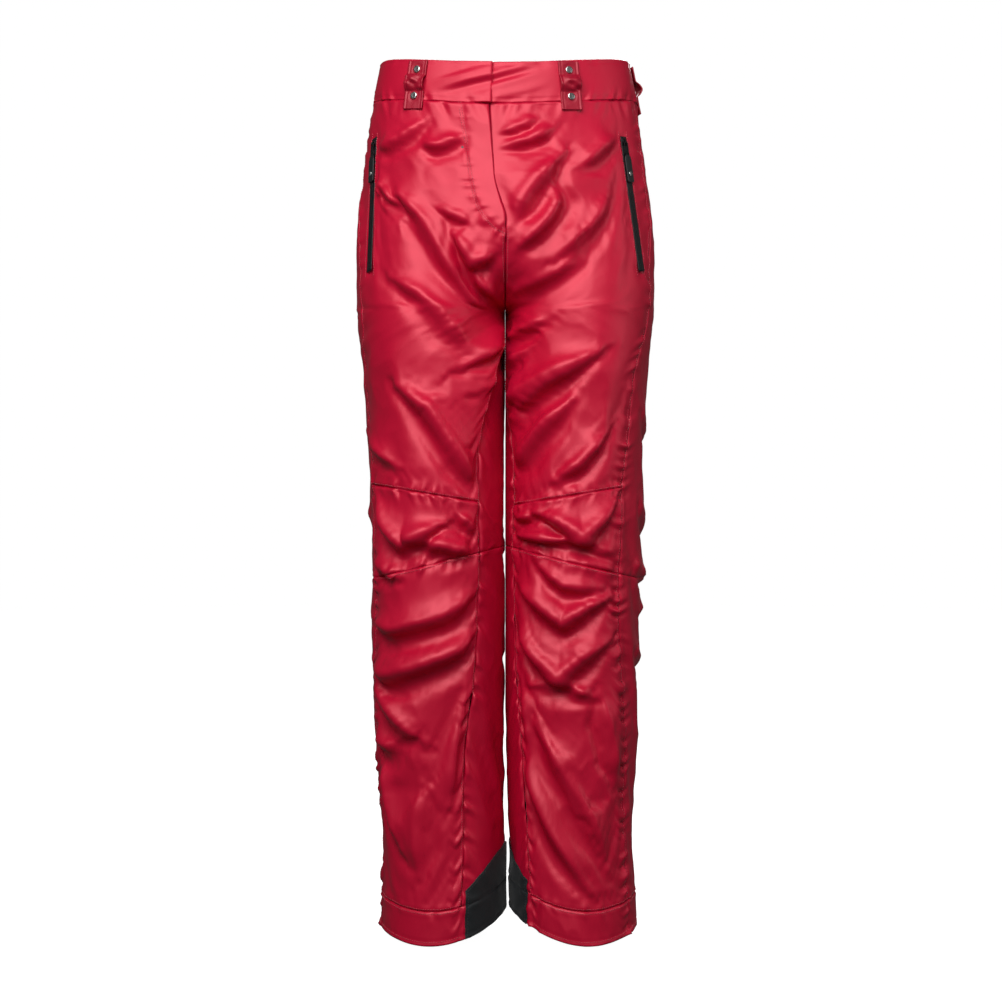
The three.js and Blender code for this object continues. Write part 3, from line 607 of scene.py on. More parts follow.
def worn_halves():
    """Both halves of the shell as they are worn: cut, folded, settled and kept near the body."""
    halves = []
    for name, side in SIDES.items():
        turns, drops = half_places()
        base = surface(side, turns, drops)
        normals = outward(side, turns, drops)
        hold = seam_hold(turns, drops)
        near = np.minimum.reduce([np.abs(turns - turns[:, [c]]) * AROUND for c in (0, FRONT_COLUMNS, -1)])
        free = 0.15 + 0.85 * ease(near, 0, 26)
        for seam in (BAND_HEIGHT, LENGTH - HEM_BAND):
            free = free * (0.1 + 0.9 * ease(np.abs(drops - seam), 0, 22))
        free = free * ease(to_pocket_zip(turns, drops), 6, 26)
        to_inside = np.minimum(turns, np.abs(1 - turns))
        guarded = (1 - ease(to_inside, 0.15, 0.19)) * ease(drops, 905, 940)
        strength = bpy.context.scene.trousers_cloth.fold_strength
        lift = strength * fold_height(side, turns, drops) * free * (1 - guarded)
        start = base + normals * lift[..., None]
        spare = through_points(SPARE_LENGTH)
        levels = drops[:, 0]
        longer = np.concatenate([[0], np.cumsum(np.diff(levels) * spare((levels[1:] + levels[:-1]) / 2))])
        cut = start.copy()
        cut[..., 2] -= (longer - (levels - levels[0]))[:, None]
        cut[..., :2] *= SPARE_WIDTH
        halves.append({"name": name, "side": side, "turns": turns, "drops": drops, "base": base,
                       "normals": normals, "hold": hold, "start": start, "cut": cut,
                       "guarded": guarded})
    drape(halves)
    for half in halves:
        moved = half["settled"] - half["base"]
        out = np.sum(moved * half["normals"], axis=-1)
        inward = mix(DRAPE_IN, DRAPE_IN_LOW, ease(half["drops"], 760, 880))
        if half["side"] < 0:
            at_fly = (1 - ease(half["turns"], 0.08, 0.13)) * (1 - ease(half["drops"], FLY_LENGTH, 230))
            inward = mix(inward, 1.6, at_fly)
        kept = (DRAPE_OUT * np.tanh(np.maximum(out, 0) / DRAPE_OUT)
                - inward * np.tanh(np.maximum(-out, 0) / inward)) * (1 - 0.9 * half["guarded"])
        sideways = moved - half["normals"] * out[..., None]
        reach = np.linalg.norm(sideways, axis=-1, keepdims=True)
        sideways *= np.tanh(reach / 12) / np.maximum(reach / 12, 1e-6)
        points = half["base"] + half["normals"] * kept[..., None] + sideways
        half["points"] = closed_up(points, half["turns"], half["drops"], half["side"])
    return halves


# ---- Materials ----
def linear(hex_colour):
    """An sRGB hex colour as linear red, green, blue and alpha."""
    channels = [int(hex_colour[i:i + 2], 16) / 255 for i in (1, 3, 5)]
    return [c / 12.92 if c <= 0.04045 else ((c + 0.055) / 1.055) ** 2.4 for c in channels] + [1.0]


def add_node(tree, kind, inputs=None, **settings):
    """A node with its settings; an input is a value or another node's output socket."""
    made = tree.nodes.new(kind)
    for name, value in settings.items():
        setattr(made, name, value)
    for name, value in (inputs or {}).items():
        if isinstance(value, bpy.types.NodeSocket):
            tree.links.new(value, made.inputs[name])
        else:
            made.inputs[name].default_value = value
    return made


def new_material(name, **sockets):
    """A material with a Principled shader; sockets are its constants."""
    material = bpy.data.materials.new(name)
    material.use_nodes = True
    tree = material.node_tree
    shader = tree.nodes["Principled BSDF"]
    for socket, value in sockets.items():
        shader.inputs[socket.replace("_", " ")].default_value = value
    return material, tree, shader


def two_tone(tree, dark, light, factor):
    """A colour between dark and light, each a hex colour or linear red, green and blue."""
    ends = [linear(tone) if isinstance(tone, str) else [*tone, 1.0] for tone in (dark, light)]
    return add_node(tree, "ShaderNodeMix", {0: factor, 6: ends[0], 7: ends[1]},
                    data_type="RGBA").outputs[2]


def bump(tree, shader, height, strength, distance):
    """Raises the shader's surface by a height pattern, in metres."""
    made = add_node(tree, "ShaderNodeBump", {"Height": height, "Strength": strength, "Distance": distance})
    tree.links.new(made.outputs[0], shader.inputs["Normal"])


def weave_height(tree, thread, place):
    """Crossing threads of a plain weave; thread is their spacing in metres."""
    bands = [add_node(tree, "ShaderNodeTexWave", {"Vector": place, "Scale": 0.314 / thread / 2,
                                                 "Distortion": 0.0},
                      bands_direction=way, wave_profile="SIN").outputs["Fac"] for way in "XY"]
    return add_node(tree, "ShaderNodeMath", {0: bands[0], 1: bands[1]}, operation="MULTIPLY").outputs[0]


def satin_cloth(name="satin polyester shell cloth", depth=1.0):
    """Filament polyester in a satin-faced weave: a deep red that turns pink where light rakes it."""
    cloth = bpy.context.scene.trousers_cloth
    material, tree, shader = new_material(
        name, Roughness=0.48, Metallic=0.16, Specular_IOR_Level=0.3,
        Coat_Weight=0.25,
        Coat_Roughness=0.42)
    place = add_node(tree, "ShaderNodeUVMap", uv_map="Cloth").outputs[0]
    cloud = add_node(tree, "ShaderNodeTexNoise", {"Vector": place, "Scale": 14.0, "Detail": 3.0})
    slub = add_node(tree, "ShaderNodeTexNoise", {
        "Vector": add_node(tree, "ShaderNodeMapping",
                           {"Vector": place, "Scale": (260, 3800, 1)}).outputs[0],
        "Scale": 1.0, "Detail": 2.0})
    tone = add_node(tree, "ShaderNodeMath", {0: cloud.outputs["Fac"], 1: slub.outputs["Fac"]},
                    operation="MULTIPLY_ADD")
    tone.inputs[2].default_value = 0.2
    # depth scales both colours down together; below 1 it is painted shade, as on the belt loops.
    dark, light = ([depth * channel for channel in tone] for tone in (cloth.dark, cloth.light))
    tree.links.new(two_tone(tree, dark, light, tone.outputs[0]), shader.inputs["Base Color"])
    # The real threads are 0.1 mm apart; they are drawn 0.7 mm apart so that they show.
    bump(tree, shader, weave_height(tree, 0.0007, place), 0.06, 0.0002)
    return material


MADE = {}


def material_of(key):
    if key not in MADE:
        MADE[key] = MATERIALS[key]()
    return MADE[key]


MATERIALS = {"shell": satin_cloth,
             # The loops' doubled cloth is painted a shade darker than the panels, at 0.62 of their colour:
             # painted shade where the loops stand angled away from the light.
             "loop": lambda: satin_cloth("pressed satin polyester loop cloth", 0.62)}


# ---- Shell panels ----
# At each seam: how far apart the puckers are, how far they reach and how tall they stand.
PUCKERS = {
    "side": (6, 13, 3.8), "inside leg": (8, 12, 2.8), "knee": (6.5, 10, 2.8), "back knee": (8, 9, 0.9),
    "hem": (7, 8, 1.2), "edge": (7, 9, 0.5), "band": (8, 16, 2.2), "seat": (9, 10, 0.7),
    "crotch": (6, 10, 1.2),
}


def seam_detail(half, points, turns, drops):
    """Fine height of the cloth: grooves and puckers at the seams, and a soft crumple."""
    across, along = run_length(points, 1), run_length(points, 0)
    outside = FRONT_COLUMNS * FINE
    seed = 10 if half["side"] > 0 else 20
    front = np.arange(points.shape[1])[None, :] <= outside
    height = 0.5 * crumple(across, along, 46, seed) + 0.3 * crumple(across, along, 17, seed + 1)
    height += creases(across, along, 52, seed + 60) + 0.35 * creases(along, across, 23, seed + 61)
    folds = fold_height(half["side"], turns, drops)
    away = np.minimum(np.abs(across - across[:, [outside]]), np.minimum(across, across[:, [-1]] - across))
    height += 0.4 * np.maximum(folds, 0) * ease(away, 2, 18)
    height *= ease(to_pocket_zip(turns, drops), 8, 26)
    below_crotch = ease(drops, RISE, RISE + 30)
    side_seam = np.abs(across - across[:, [outside]])
    inner_seam = np.minimum(across, across[:, [-1]] - across)

    def groove(distance, deep=0.8, wide=1.5):
        return -deep * bell(distance, wide) + 0.45 * deep * bell(distance - 2.4 * wide, 1.5 * wide)

    def puckers(distance, place, seam, number):
        spacing, reach, tall = PUCKERS[seam]
        slanted = place + 0.35 * distance * np.sign(ripple(place, 60, seed + number + 50))
        waves = tall * ripple(slanted, spacing, seed + number)
        return waves * bell(distance, reach) * ease(distance, 0.4, 2.5)
    strong = mix(0.45, 1.0, ease(drops, 380, 470)) * (1.25 if half["side"] > 0 else 0.8)
    height += groove(side_seam)
    height += strong * puckers(side_seam, along, "side", 2) * np.where(front, 1, 0.4)
    height += below_crotch * (groove(inner_seam, 0.6) + puckers(inner_seam, along, "inside leg", 3))
    # the two seams of the knee panel and the band above the hem
    for number, seam in enumerate((KNEE_TOP, KNEE_FOOT)):
        distance = np.abs(along - along[row_of(seam) * FINE])
        shown = np.where(front, 1.0, 0.0)
        height += shown * (groove(distance, 0.6) + puckers(distance, across, "knee", 4 + number))
    back_seam = np.abs(along - along[row_of(KNEE_FOOT) * FINE])
    back_knee = groove(back_seam, 0.8) + puckers(back_seam, across, "back knee", 7)
    height += np.where(front, 0.0, 1.0) * back_knee
    hem = np.abs(along - along[row_of(LENGTH - HEM_BAND) * FINE])
    height += groove(hem, 0.8, 1.8) + puckers(hem, across, "hem", 8)
    edge = along[-1] - along
    height += 0.6 * bell(edge, 3) + puckers(edge, across, "edge", 9) - 0.5 * bell(edge - 5.5, 1.6)
    band = along - along[0]
    height += puckers(band, across, "band", 11)
    # the centre seams: the fly lies over on the right, and the seat seam is plain
    above = 1 - ease(drops, FLY_LENGTH, FLY_LENGTH + 8)
    centre_back = across[:, [-1]] - across
    height += (1 - below_crotch) * groove(centre_back, 0.8)
    height += (1 - below_crotch) * puckers(centre_back, along, "seat", 12)
    if half["side"] < 0:
        height += 1.7 * above * (1 - ease(across, 22, 34))
    else:
        height += -0.9 * above * (1 - ease(across, 4, 16))
    crotch_seam = groove(across, 1.0) + puckers(across, along, "crotch", 13)
    height += (1 - above) * (1 - below_crotch) * crotch_seam
    if half["side"] < 0:
        height += fly_puckers(across, drops, seed)
    height += pocket_puckers(turns, drops, seed)
    return height


FLY_STITCH = [(30, BAND_HEIGHT), (30, 150), (28.5, 180), (22, 200), (12, 213), (1, 219)]


def fly_puckers(across, drops, seed):
    """Pinches along the curved row of stitches that holds the fly facing."""
    signed, share = line_distance(FLY_STITCH, across, drops)
    place = share * 190
    tall = mix(1.4, 3.6, ease(place, 90, 150))
    pinch = tall * ripple(place, 5, seed + 30) * bell(signed, 7) * ease(np.abs(signed), 0.3, 2)
    return np.maximum(pinch, -0.6) - 0.5 * bell(signed, 1.2)


def pocket_puckers(turns, drops, seed):
    """The cloth is drawn in along both sides of the pocket zip."""
    off = np.abs(turns - zip_turns(POCKET, drops)) * AROUND
    past = past_pocket_zip(drops)
    ends = 1 - ease(past, 0, 6)
    edge_ridge = 0.5 * bell(off - 8, 1.6) - 0.5 * bell(off - 10.5, 1.2)
    lines = ends * (edge_ridge - 1.1 * (1 - ease(off, 5.5, 7.5)))
    wave = ends * 0.9 * ripple(drops, 9, seed + 40) * bell(off - 9, 9) * ease(off, 6, 10)
    corner = -2.0 * bell(np.hypot(off, drops - POCKET["foot"]), 9)
    return lines + wave + corner


def shell_panel(name, half, rows, columns, closed=False):
    wall = bpy.context.scene.trousers_cloth.thickness / MM
    outer = half["fine"][rows, columns]
    inner = outer - half["fine_normals"][rows, columns] * wall
    if closed:
        outer, inner = outer[:, :-1], inner[:, :-1]
    return cloth_solid(name, outer, inner, half["side"], material_of("shell"), closed)


def build_shell(half):
    """The six panels of one half, each cut out of the draped cloth at its seams."""
    name = half["name"]
    side_seam = FRONT_COLUMNS * FINE
    knee_top, knee_foot, hem = (row_of(drop) * FINE for drop in (KNEE_TOP, KNEE_FOOT, LENGTH - HEM_BAND))
    front, back = slice(0, side_seam + 1), slice(side_seam, None)
    panels = {
        "front_thigh": (slice(0, knee_top + 1), front),
        "knee_panel": (slice(knee_top, knee_foot + 1), front),
        "front_shin": (slice(knee_foot, hem + 1), front),
        "back_thigh": (slice(0, knee_foot + 1), back),
        "back_shin": (slice(knee_foot, hem + 1), back),
        "hem_band": (slice(hem, None), slice(0, None)),
    }
    for panel, (rows, columns) in panels.items():
        node = f"{panel}_{name}"
        obj = shell_panel(f"{node}_cloth", half, rows, columns, closed=panel == "hem_band")
        finish_piece(obj, "trousers", "shell_cloth", node)
        declare_sheet(obj, half["cut_fine"][rows, columns])


def make_fine(half):
    half["fine_turns"] = finer_grid(half["turns"], FINE)
    half["fine_drops"] = finer_grid(half["drops"], FINE)
    points = finer_grid(half["points"], FINE)
    normals = grid_normals(points, half["side"])
    height = seam_detail(half, points, half["fine_turns"], half["fine_drops"])
    fine = points + normals * height[..., None]
    half["fine"] = closed_up(fine, half["fine_turns"], half["fine_drops"], half["side"])
    half["fine_normals"] = grid_normals(half["fine"], half["side"])
    half["cut_fine"] = finer_grid(half["cut"], FINE)


CAMERA_PLACE = (-0.005, -2.2, -0.522)
STUDIO_REACH = 7.0


def seen_only(obj):
    """Keeps a piece of the stage from throwing its own light on the cloth."""
    obj.visible_diffuse = obj.visible_glossy = obj.visible_transmission = obj.visible_shadow = False
    obj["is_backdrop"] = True


def build_backdrop(level):
    """A pale floor and a white dome round it."""
    paper, _, shader = new_material("white studio paper", Roughness=0.9)
    shader.inputs["Base Color"].default_value = linear("#8C8C8C")
    shader.inputs["Emission Color"].default_value = (1, 1, 1, 1)
    shader.inputs["Emission Strength"].default_value = 0.99
    edit = bmesh.new()
    bmesh.ops.create_circle(edit, cap_ends=True, segments=64, radius=STUDIO_REACH)
    bmesh.ops.translate(edit, verts=edit.verts, vec=(0, 0, level))
    floor = bpy.data.meshes.new("studio_floor")
    edit.to_mesh(floor)
    edit.free()
    seen_only(new_object("studio_floor", floor, paper, smooth=False))
    glow, _, shader = new_material("lit studio dome", Roughness=1.0)
    shader.inputs["Base Color"].default_value = (0, 0, 0, 1)
    shader.inputs["Emission Color"].default_value = (1, 1, 1, 1)
    shader.inputs["Emission Strength"].default_value = 1.0
    edit = bmesh.new()
    bmesh.ops.create_uvsphere(edit, u_segments=48, v_segments=24, radius=STUDIO_REACH)
    dome = bpy.data.meshes.new("studio_dome")
    edit.to_mesh(dome)
    edit.free()
    seen_only(new_object("studio_dome", dome, glow))


# Each lamp: its place, what it points at and its width and height, in metres.
LAMPS = {
    "key": ((-0.35, -1.75, 0.8), (0, 0, -0.1), (2.4, 1.5)),
    "side": ((2.4, -0.6, 0.2), (0, 0, -0.5), (1.2, 1.6)),
    "back": ((0.3, 1.8, 1.0), (0, 0, -0.35), (1.2, 0.8)),
}
FLOOR_GAP = 0.004          # the hems hang just clear of the floor


def build_stage():
    scene = bpy.context.scene
    studio = scene.trousers_studio
    camera = bpy.data.objects.new("camera", bpy.data.cameras.new("camera"))
    camera.data.lens = 66
    camera.data.sensor_width = 36
    camera.location = CAMERA_PLACE
    camera.rotation_euler = (math.pi / 2, 0, 0)
    scene.collection.objects.link(camera)
    scene.camera = camera
    build_backdrop(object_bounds()[0][2] - FLOOR_GAP)
    world = bpy.data.worlds.new("studio")
    scene.world = world
    scene.view_settings.view_transform = "Standard"
    world.use_nodes = True
    world.node_tree.nodes["Background"].inputs["Color"].default_value = (1, 1, 1, 1)
    world.node_tree.nodes["Background"].inputs["Strength"].default_value = studio.fill
    for name, (place, target, size) in LAMPS.items():
        light = bpy.data.lights.new(name, "AREA")
        light.shape = "RECTANGLE"
        light.size, light.size_y = size
        light.energy = getattr(studio, name)
        lamp = bpy.data.objects.new(name, light)
        lamp.location = place
        lamp.visible_camera = False
        lamp.rotation_euler = (Vector(target) - Vector(place)).to_track_quat("-Z", "Y").to_euler()
        scene.collection.objects.link(lamp)


# ---- Places on the draped cloth ----
def on_cloth(half, turns, drops, off=0.0):
    """Points that stand off the draped cloth by a distance, and the outward directions there."""
    turns, drops = np.broadcast_arrays(np.asarray(turns, float), np.asarray(drops, float))
    inside, outside = inside_seam(drops), outside_seam(drops)
    turns = np.where(turns < inside, turns + np.where(drops > RISE, 1, 0), turns)
    front = (turns - inside) / (outside - inside) * FRONT_COLUMNS
    back = FRONT_COLUMNS + (turns - outside) / (1 + inside - outside) * BACK_COLUMNS
    column = np.clip(np.where(turns < outside, front, back), 0, FRONT_COLUMNS + BACK_COLUMNS) * FINE
    row = np.interp(drops, ROW_DROPS, np.arange(len(ROW_DROPS))) * FINE
    i = np.minimum(np.floor(row).astype(int), half["fine"].shape[0] - 2)
    j = np.minimum(np.floor(column).astype(int), half["fine"].shape[1] - 2)
    k, m = (row - i)[..., None], (column - j)[..., None]

    def blend(grid):
        return mix(mix(grid[i, j], grid[i + 1, j], k), mix(grid[i, j + 1], grid[i + 1, j + 1], k), m)
    normals = unit(blend(half["fine_normals"]))
    return blend(half["fine"]) + normals * np.asarray(off)[..., None], normals


def plain_grid(side, turns, drops, off):
    """A grid at a distance from the smooth surface, before any folds."""
    turns, drops = np.broadcast_arrays(turns, drops)
    return surface(side, turns, drops) + outward(side, turns, drops) * np.asarray(off)[..., None]


def finish_piece(obj, body, slot, *nodes):
    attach(obj, body)
    if nodes:
        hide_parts(*nodes)
    return obj


def declare_sheet(obj, points):
    return obj


# ---- Waistband ----
BAND_THICK = 3.4
BAND_AROUND = 480          # about how far the band goes round for a turn of 1
TAB_FACE = 5.3
TAB_THICK = 3.2


def band_section(top, foot, out, thick, steps):
    """A closed loop of (drop, off) points round the band: out, over the top and back inside."""
    radius = thick / 2
    arc = np.linspace(0, np.pi, 9)[1:-1]
    face = np.linspace(foot - radius, top + radius, steps)
    outer = np.stack([face, np.full(steps, out)], axis=1)
    over = np.stack([top + radius - radius * np.sin(arc), out - radius + radius * np.cos(arc)], axis=1)
    inner = np.stack([face[::-1], np.full(steps, out - thick)], axis=1)
    under = np.stack([foot - radius + radius * np.sin(arc), out - radius - radius * np.cos(arc)], axis=1)
    return np.concatenate([outer, over, inner, under])


def loft(name, rings, side=1, material=None):
    """A closed solid through closed rings of points, capped at both ends."""
    count, around = rings.shape[:2]
    faces = grid_faces(count, around, side < 0, 0, closed=True).tolist()
    first, last = list(range(around)), list(range((count - 1) * around, count * around))
    faces += [first[::-1], last] if side < 0 else [first, last[::-1]]
    along = np.broadcast_to(run_length(rings, 0).mean(axis=1, keepdims=True), rings.shape[:2])
    uv = np.stack([along, run_length(rings, 1)], axis=-1).reshape(-1, 2) * MM
    mesh = mesh_from_faces(name, rings.reshape(-1, 3), faces, uv)
    made = new_object(name, mesh, material)
    outward_faces(made)
    return made


def outward_faces(obj):
    edit = bmesh.new()
    edit.from_mesh(obj.data)
    bmesh.ops.recalc_face_normals(edit, faces=edit.faces)
    edit.to_mesh(obj.data)
    edit.free()


def band_wrinkle(side, turns, drops, seed):
    """Puckers from both stitched edges of the band, and gathers beside its front end."""
    place = turns * BAND_AROUND
    edges = 1.7 * ripple(place + 0.5 * drops, 9, seed) * bell(BAND_HEIGHT - drops, 9)
    edges += 0.7 * ripple(place - 0.3 * drops, 12, seed + 1) * bell(drops, 9)
    soft = 0.7 * crumple(place, drops * 1.6, 40, seed + 2)
    front = 1 - ease(turns, 0.05, 0.16)
    gathers = 3.0 * front * ripple(drops + 0.28 * place * side, 7.5, seed + 3) * bell(drops - 24, 17)
    groove = -0.7 * bell(drops - 4.5, 1) - 0.7 * bell(drops - (BAND_HEIGHT - 4), 1)
    return edges + soft + gathers + groove


def band_piece(name, side, start, end, out, thick, node, seed):
    turns = np.linspace(start, end, max(24, int(abs(end - start) * 190)))
    section = band_section(0, BAND_HEIGHT, 0, thick, 22)
    drops, offs = section[:, 0][None, :], section[:, 1][None, :]
    grid_turns = np.broadcast_to(turns[:, None], (len(turns), len(section)))
    grid_drops = np.broadcast_to(drops, grid_turns.shape)
    outer_share = ease(offs, -thick, 0)
    wrinkle = band_wrinkle(side, np.abs(grid_turns), grid_drops, seed) * outer_share
    proud = out(grid_turns) if callable(out) else out
    ends = np.minimum(turns - min(start, end), max(start, end) - turns) * BAND_AROUND
    pinch = (0.35 * bell(ends, 1.2))[:, None] * (-thick / 2 - offs)
    rings = plain_grid(side, grid_turns, grid_drops, proud + offs + wrinkle + pinch)
    obj = loft(name, rings, side, material_of("shell"))
    finish_piece(obj, "trousers", "shell_cloth", node)
    flat_turns, flat_drops = np.meshgrid(turns, np.linspace(0, BAND_HEIGHT, 9))
    declare_sheet(obj, plain_grid(side, flat_turns, flat_drops, 0.0))


def left_out(turns):
    """The left length sinks a little at its front end, under the right one."""
    return BAND_PROUD - 0.9 * (1 - ease(turns, 0, 0.03))


def right_out(turns):
    return BAND_PROUD + 1.9 * (1 - ease(turns, 0.03, 0.1))


def build_waistband():
    band_piece("waistband_tab", 1, -FLY_TURN, 0.004, -TAB_FACE, TAB_THICK, "waistband_left", 60)
    band_piece("waistband_left_cloth", 1, 0.001, BAND_JOIN, left_out, BAND_THICK, "waistband_left", 61)
    band_piece("waistband_right_cloth", -1, -0.006, BAND_JOIN, right_out, BAND_THICK, "waistband_right", 62)
    band_piece("waistband_back_cloth", 1, BAND_JOIN + 0.001, 2 - BAND_JOIN - 0.001, BAND_PROUD,
               BAND_THICK, "waistband_back", 63)


# ---- Frames that stand on the cloth ----
def stand_on_cloth(side, turn, top, foot, off=0.0):
    """Axes (across, up, out) and origin of a flat frame that stands on the smooth cloth."""
    high, low = surface(side, turn, top), surface(side, turn, foot)
    up = unit(high - low)
    out = outward(side, turn, (top + foot) / 2)
    out = unit(out - up * np.dot(out, up))
    return stand_axes((high + low) / 2 + out * off, up, out)


def stand_axes(origin, up, out):
    across = unit(np.cross(up, out))
    return origin, across, up, np.cross(across, up)


def zip_seat(side, line, depth):
    straight = {"side": side, **line}
    top, foot = line_point(straight, line["top"]), line_point(straight, line["foot"])
    up = unit(top - foot)
    out = outward(side, (line["top_turn"] + line["foot_turn"]) / 2, (line["top"] + line["foot"]) / 2)
    out = unit(out - up * np.dot(out, up))
    return stand_axes((top + foot) / 2 - out * depth, up, out), float(np.linalg.norm(top - foot))


def in_frame(place, points):
    origin, across, up, out = place
    points = np.asarray(points, float)
    return origin + points[..., :1] * across + points[..., 1:2] * up + points[..., 2:3] * out


# ---- Belt loops ----
LOOP = {"width": 25, "top": 2, "foot": 59, "thick": 1.6, "gap": 7.4, "head": 16, "tail": 21,
        "off": 0.6}
LOOP_PLACES = {"front_left": (1, 0.196), "front_right": (-1, 0.196), "side_left": (1, 0.57),
               "side_right": (-1, 0.57), "back": (1, 1.0)}
RIVET = {"radius": 4.3, "dome": 1.2, "from_top": 10.5, "from_foot": 15.5}


def loop_frame(side, turn):
    return stand_on_cloth(side, turn, LOOP["top"], LOOP["foot"], BAND_PROUD + LOOP["off"])


def build_belt_loops():
    half = (LOOP["foot"] - LOOP["top"]) / 2
    low, high = LOOP["tail"] - half, half - LOOP["head"]
    y = np.linspace(-half, half, 58)
    between = np.clip((y - low) / (high - low), 0, 1)
    rise = 0.75 * LOOP["gap"] * np.sin(np.pi * between) ** 0.9
    x = np.linspace(-LOOP["width"] / 2, LOOP["width"] / 2, 34)
    across, up = np.meshgrid(x, y[::-1])
    lift = np.broadcast_to(rise[::-1][:, None], across.shape)
    for number, (name, (side, turn)) in enumerate(LOOP_PLACES.items()):
        place = loop_frame(side, turn)
        seed = 80 + 5 * number
        wrinkle = 2.0 * crumple(across + 3 * np.sin(up / 7), up * 1.5, 8, seed) * ease(lift, 0, 2)
        wrinkle = wrinkle + 0.7 * crumple(across, up, 9, seed + 1)
        for rivet_y in (half - RIVET["from_top"], RIVET["from_foot"] - half):
            off = np.hypot(across, up - rivet_y)
            wrinkle = wrinkle * ease(off, 3, 8) - 0.5 * bell(off - 5.4, 1.6)
        edge = LOOP["width"] / 2 - np.abs(across)
        wrinkle = wrinkle + 0.35 * bell(edge - 1.2, 1.2) - 0.4 * bell(edge - 3.2, 0.7)
        hang = -0.6 * ease(-up, half - 14, half) * np.cos(across / 9)
        top_face = in_frame(place, np.stack([across, up, lift + LOOP["thick"] + wrinkle + hang], axis=-1))
        under = in_frame(place, np.stack([across, up, lift + wrinkle + hang], axis=-1))
        obj = cloth_solid(f"belt_loop_{name}_cloth", top_face, under, -1, material_of("loop"))
        outward_faces(obj)
        finish_piece(obj, "trousers", "shell_cloth", f"belt_loop_{name}")
        declare_sheet(obj, top_face)


def rivet_places():
    """Where the belt-loop rivets sit: point, outward direction."""
    half = (LOOP["foot"] - LOOP["top"]) / 2
    places = []
    for side, turn in LOOP_PLACES.values():
        place = loop_frame(side, turn)
        for y in (half - RIVET["from_top"], RIVET["from_foot"] - half):
            places.append((in_frame(place, (0, y, LOOP["thick"] + 0.1)), place[3]))
    return places


# ---- Geometry Nodes: what repeats ----
def rivet_head(radius, dome, name="rivet_head"):
    """A turned rivet head with a flat, slightly dished face, on a short shank."""
    profile = [(0, dome * 0.86), (0.55, dome * 0.9), (0.78, dome), (0.93, dome * 0.82), (1, dome * 0.4),
               (0.97, 0), (0.4, -0.1), (0.38, -1.6), (0, -1.6)]
    turns = 20
    points, faces = [], []
    for share, z in profile:
        for k in range(turns):
            angle = 2 * math.pi * k / turns
            points.append((radius * share * math.cos(angle), radius * share * math.sin(angle), z))
    for i in range(len(profile) - 1):
        for k in range(turns):
            nxt = (k + 1) % turns
            faces.append((i * turns + k, (i + 1) * turns + k, (i + 1) * turns + nxt, i * turns + nxt))
    obj = new_object(name, mesh_from_faces(name, points, faces))
    edit = bmesh.new()
    edit.from_mesh(obj.data)
    bmesh.ops.remove_doubles(edit, verts=edit.verts, dist=1e-6)
    bmesh.ops.recalc_face_normals(edit, faces=edit.faces)
    edit.to_mesh(obj.data)
    edit.free()
    return obj


def node_tree(name, inputs):
    """A Geometry Nodes tree with a geometry input and output and the named inputs."""
    tree = bpy.data.node_groups.new(name, "GeometryNodeTree")
    tree.interface.new_socket("Geometry", in_out="INPUT", socket_type="NodeSocketGeometry")
    tree.interface.new_socket("Geometry", in_out="OUTPUT", socket_type="NodeSocketGeometry")
    for label, kind in inputs.items():
        tree.interface.new_socket(label, in_out="INPUT", socket_type=kind)
    return tree, tree.nodes.new("NodeGroupInput"), tree.nodes.new("NodeGroupOutput")


def heads_at_points_tree():
    """Stands one head on each point, facing along the point's stored direction."""
    tree, given, result = node_tree("heads at points", {"Head": "NodeSocketObject",
                                                        "Finish": "NodeSocketMaterial"})
    facing = add_node(tree, "GeometryNodeInputNamedAttribute", {"Name": "facing"}, data_type="FLOAT_VECTOR")
    turn = add_node(tree, "FunctionNodeAlignRotationToVector", {"Vector": facing.outputs[0]}, axis="Z")
    head = add_node(tree, "GeometryNodeObjectInfo", {"Object": given.outputs["Head"]})
    placed = add_node(tree, "GeometryNodeInstanceOnPoints", {
        "Points": given.outputs["Geometry"], "Instance": head.outputs["Geometry"],
        "Rotation": turn.outputs[0]})
    end_tree(tree, placed.outputs[0], given, result)
    return tree


def repeat_along_lines_tree():
    """Lays one item at every spacing along each line, turned the way the line runs."""
    tree, given, result = node_tree("repeat along lines", {
        "Spacing": "NodeSocketFloat", "Item": "NodeSocketObject", "Finish": "NodeSocketMaterial"})
    curve = add_node(tree, "GeometryNodeMeshToCurve", {"Mesh": given.outputs["Geometry"]})
    points = add_node(tree, "GeometryNodeResampleCurve", {
        "Curve": curve.outputs[0], "Length": given.outputs["Spacing"]}, mode="LENGTH")
    tangent = tree.nodes.new("GeometryNodeInputTangent")
    turn = add_node(tree, "FunctionNodeAlignRotationToVector", {"Vector": tangent.outputs[0]}, axis="X")
    facing = add_node(tree, "GeometryNodeInputNamedAttribute", {"Name": "facing"}, data_type="FLOAT_VECTOR")
    upright = add_node(tree, "FunctionNodeAlignRotationToVector", {
        "Rotation": turn.outputs[0], "Vector": facing.outputs[0]}, axis="Z", pivot_axis="X")
    item = add_node(tree, "GeometryNodeObjectInfo", {"Object": given.outputs["Item"]})
    placed = add_node(tree, "GeometryNodeInstanceOnPoints", {
        "Points": points.outputs[0], "Instance": item.outputs["Geometry"], "Rotation": upright.outputs[0]})
    end_tree(tree, placed.outputs[0], given, result)
    return tree


def end_tree(tree, instances, given, result):
    real = add_node(tree, "GeometryNodeRealizeInstances", {"Geometry": instances})
    painted = add_node(tree, "GeometryNodeSetMaterial", {
        "Geometry": real.outputs[0], "Material": given.outputs["Finish"]})
    tree.links.new(painted.outputs[0], result.inputs["Geometry"])


TREES = {}


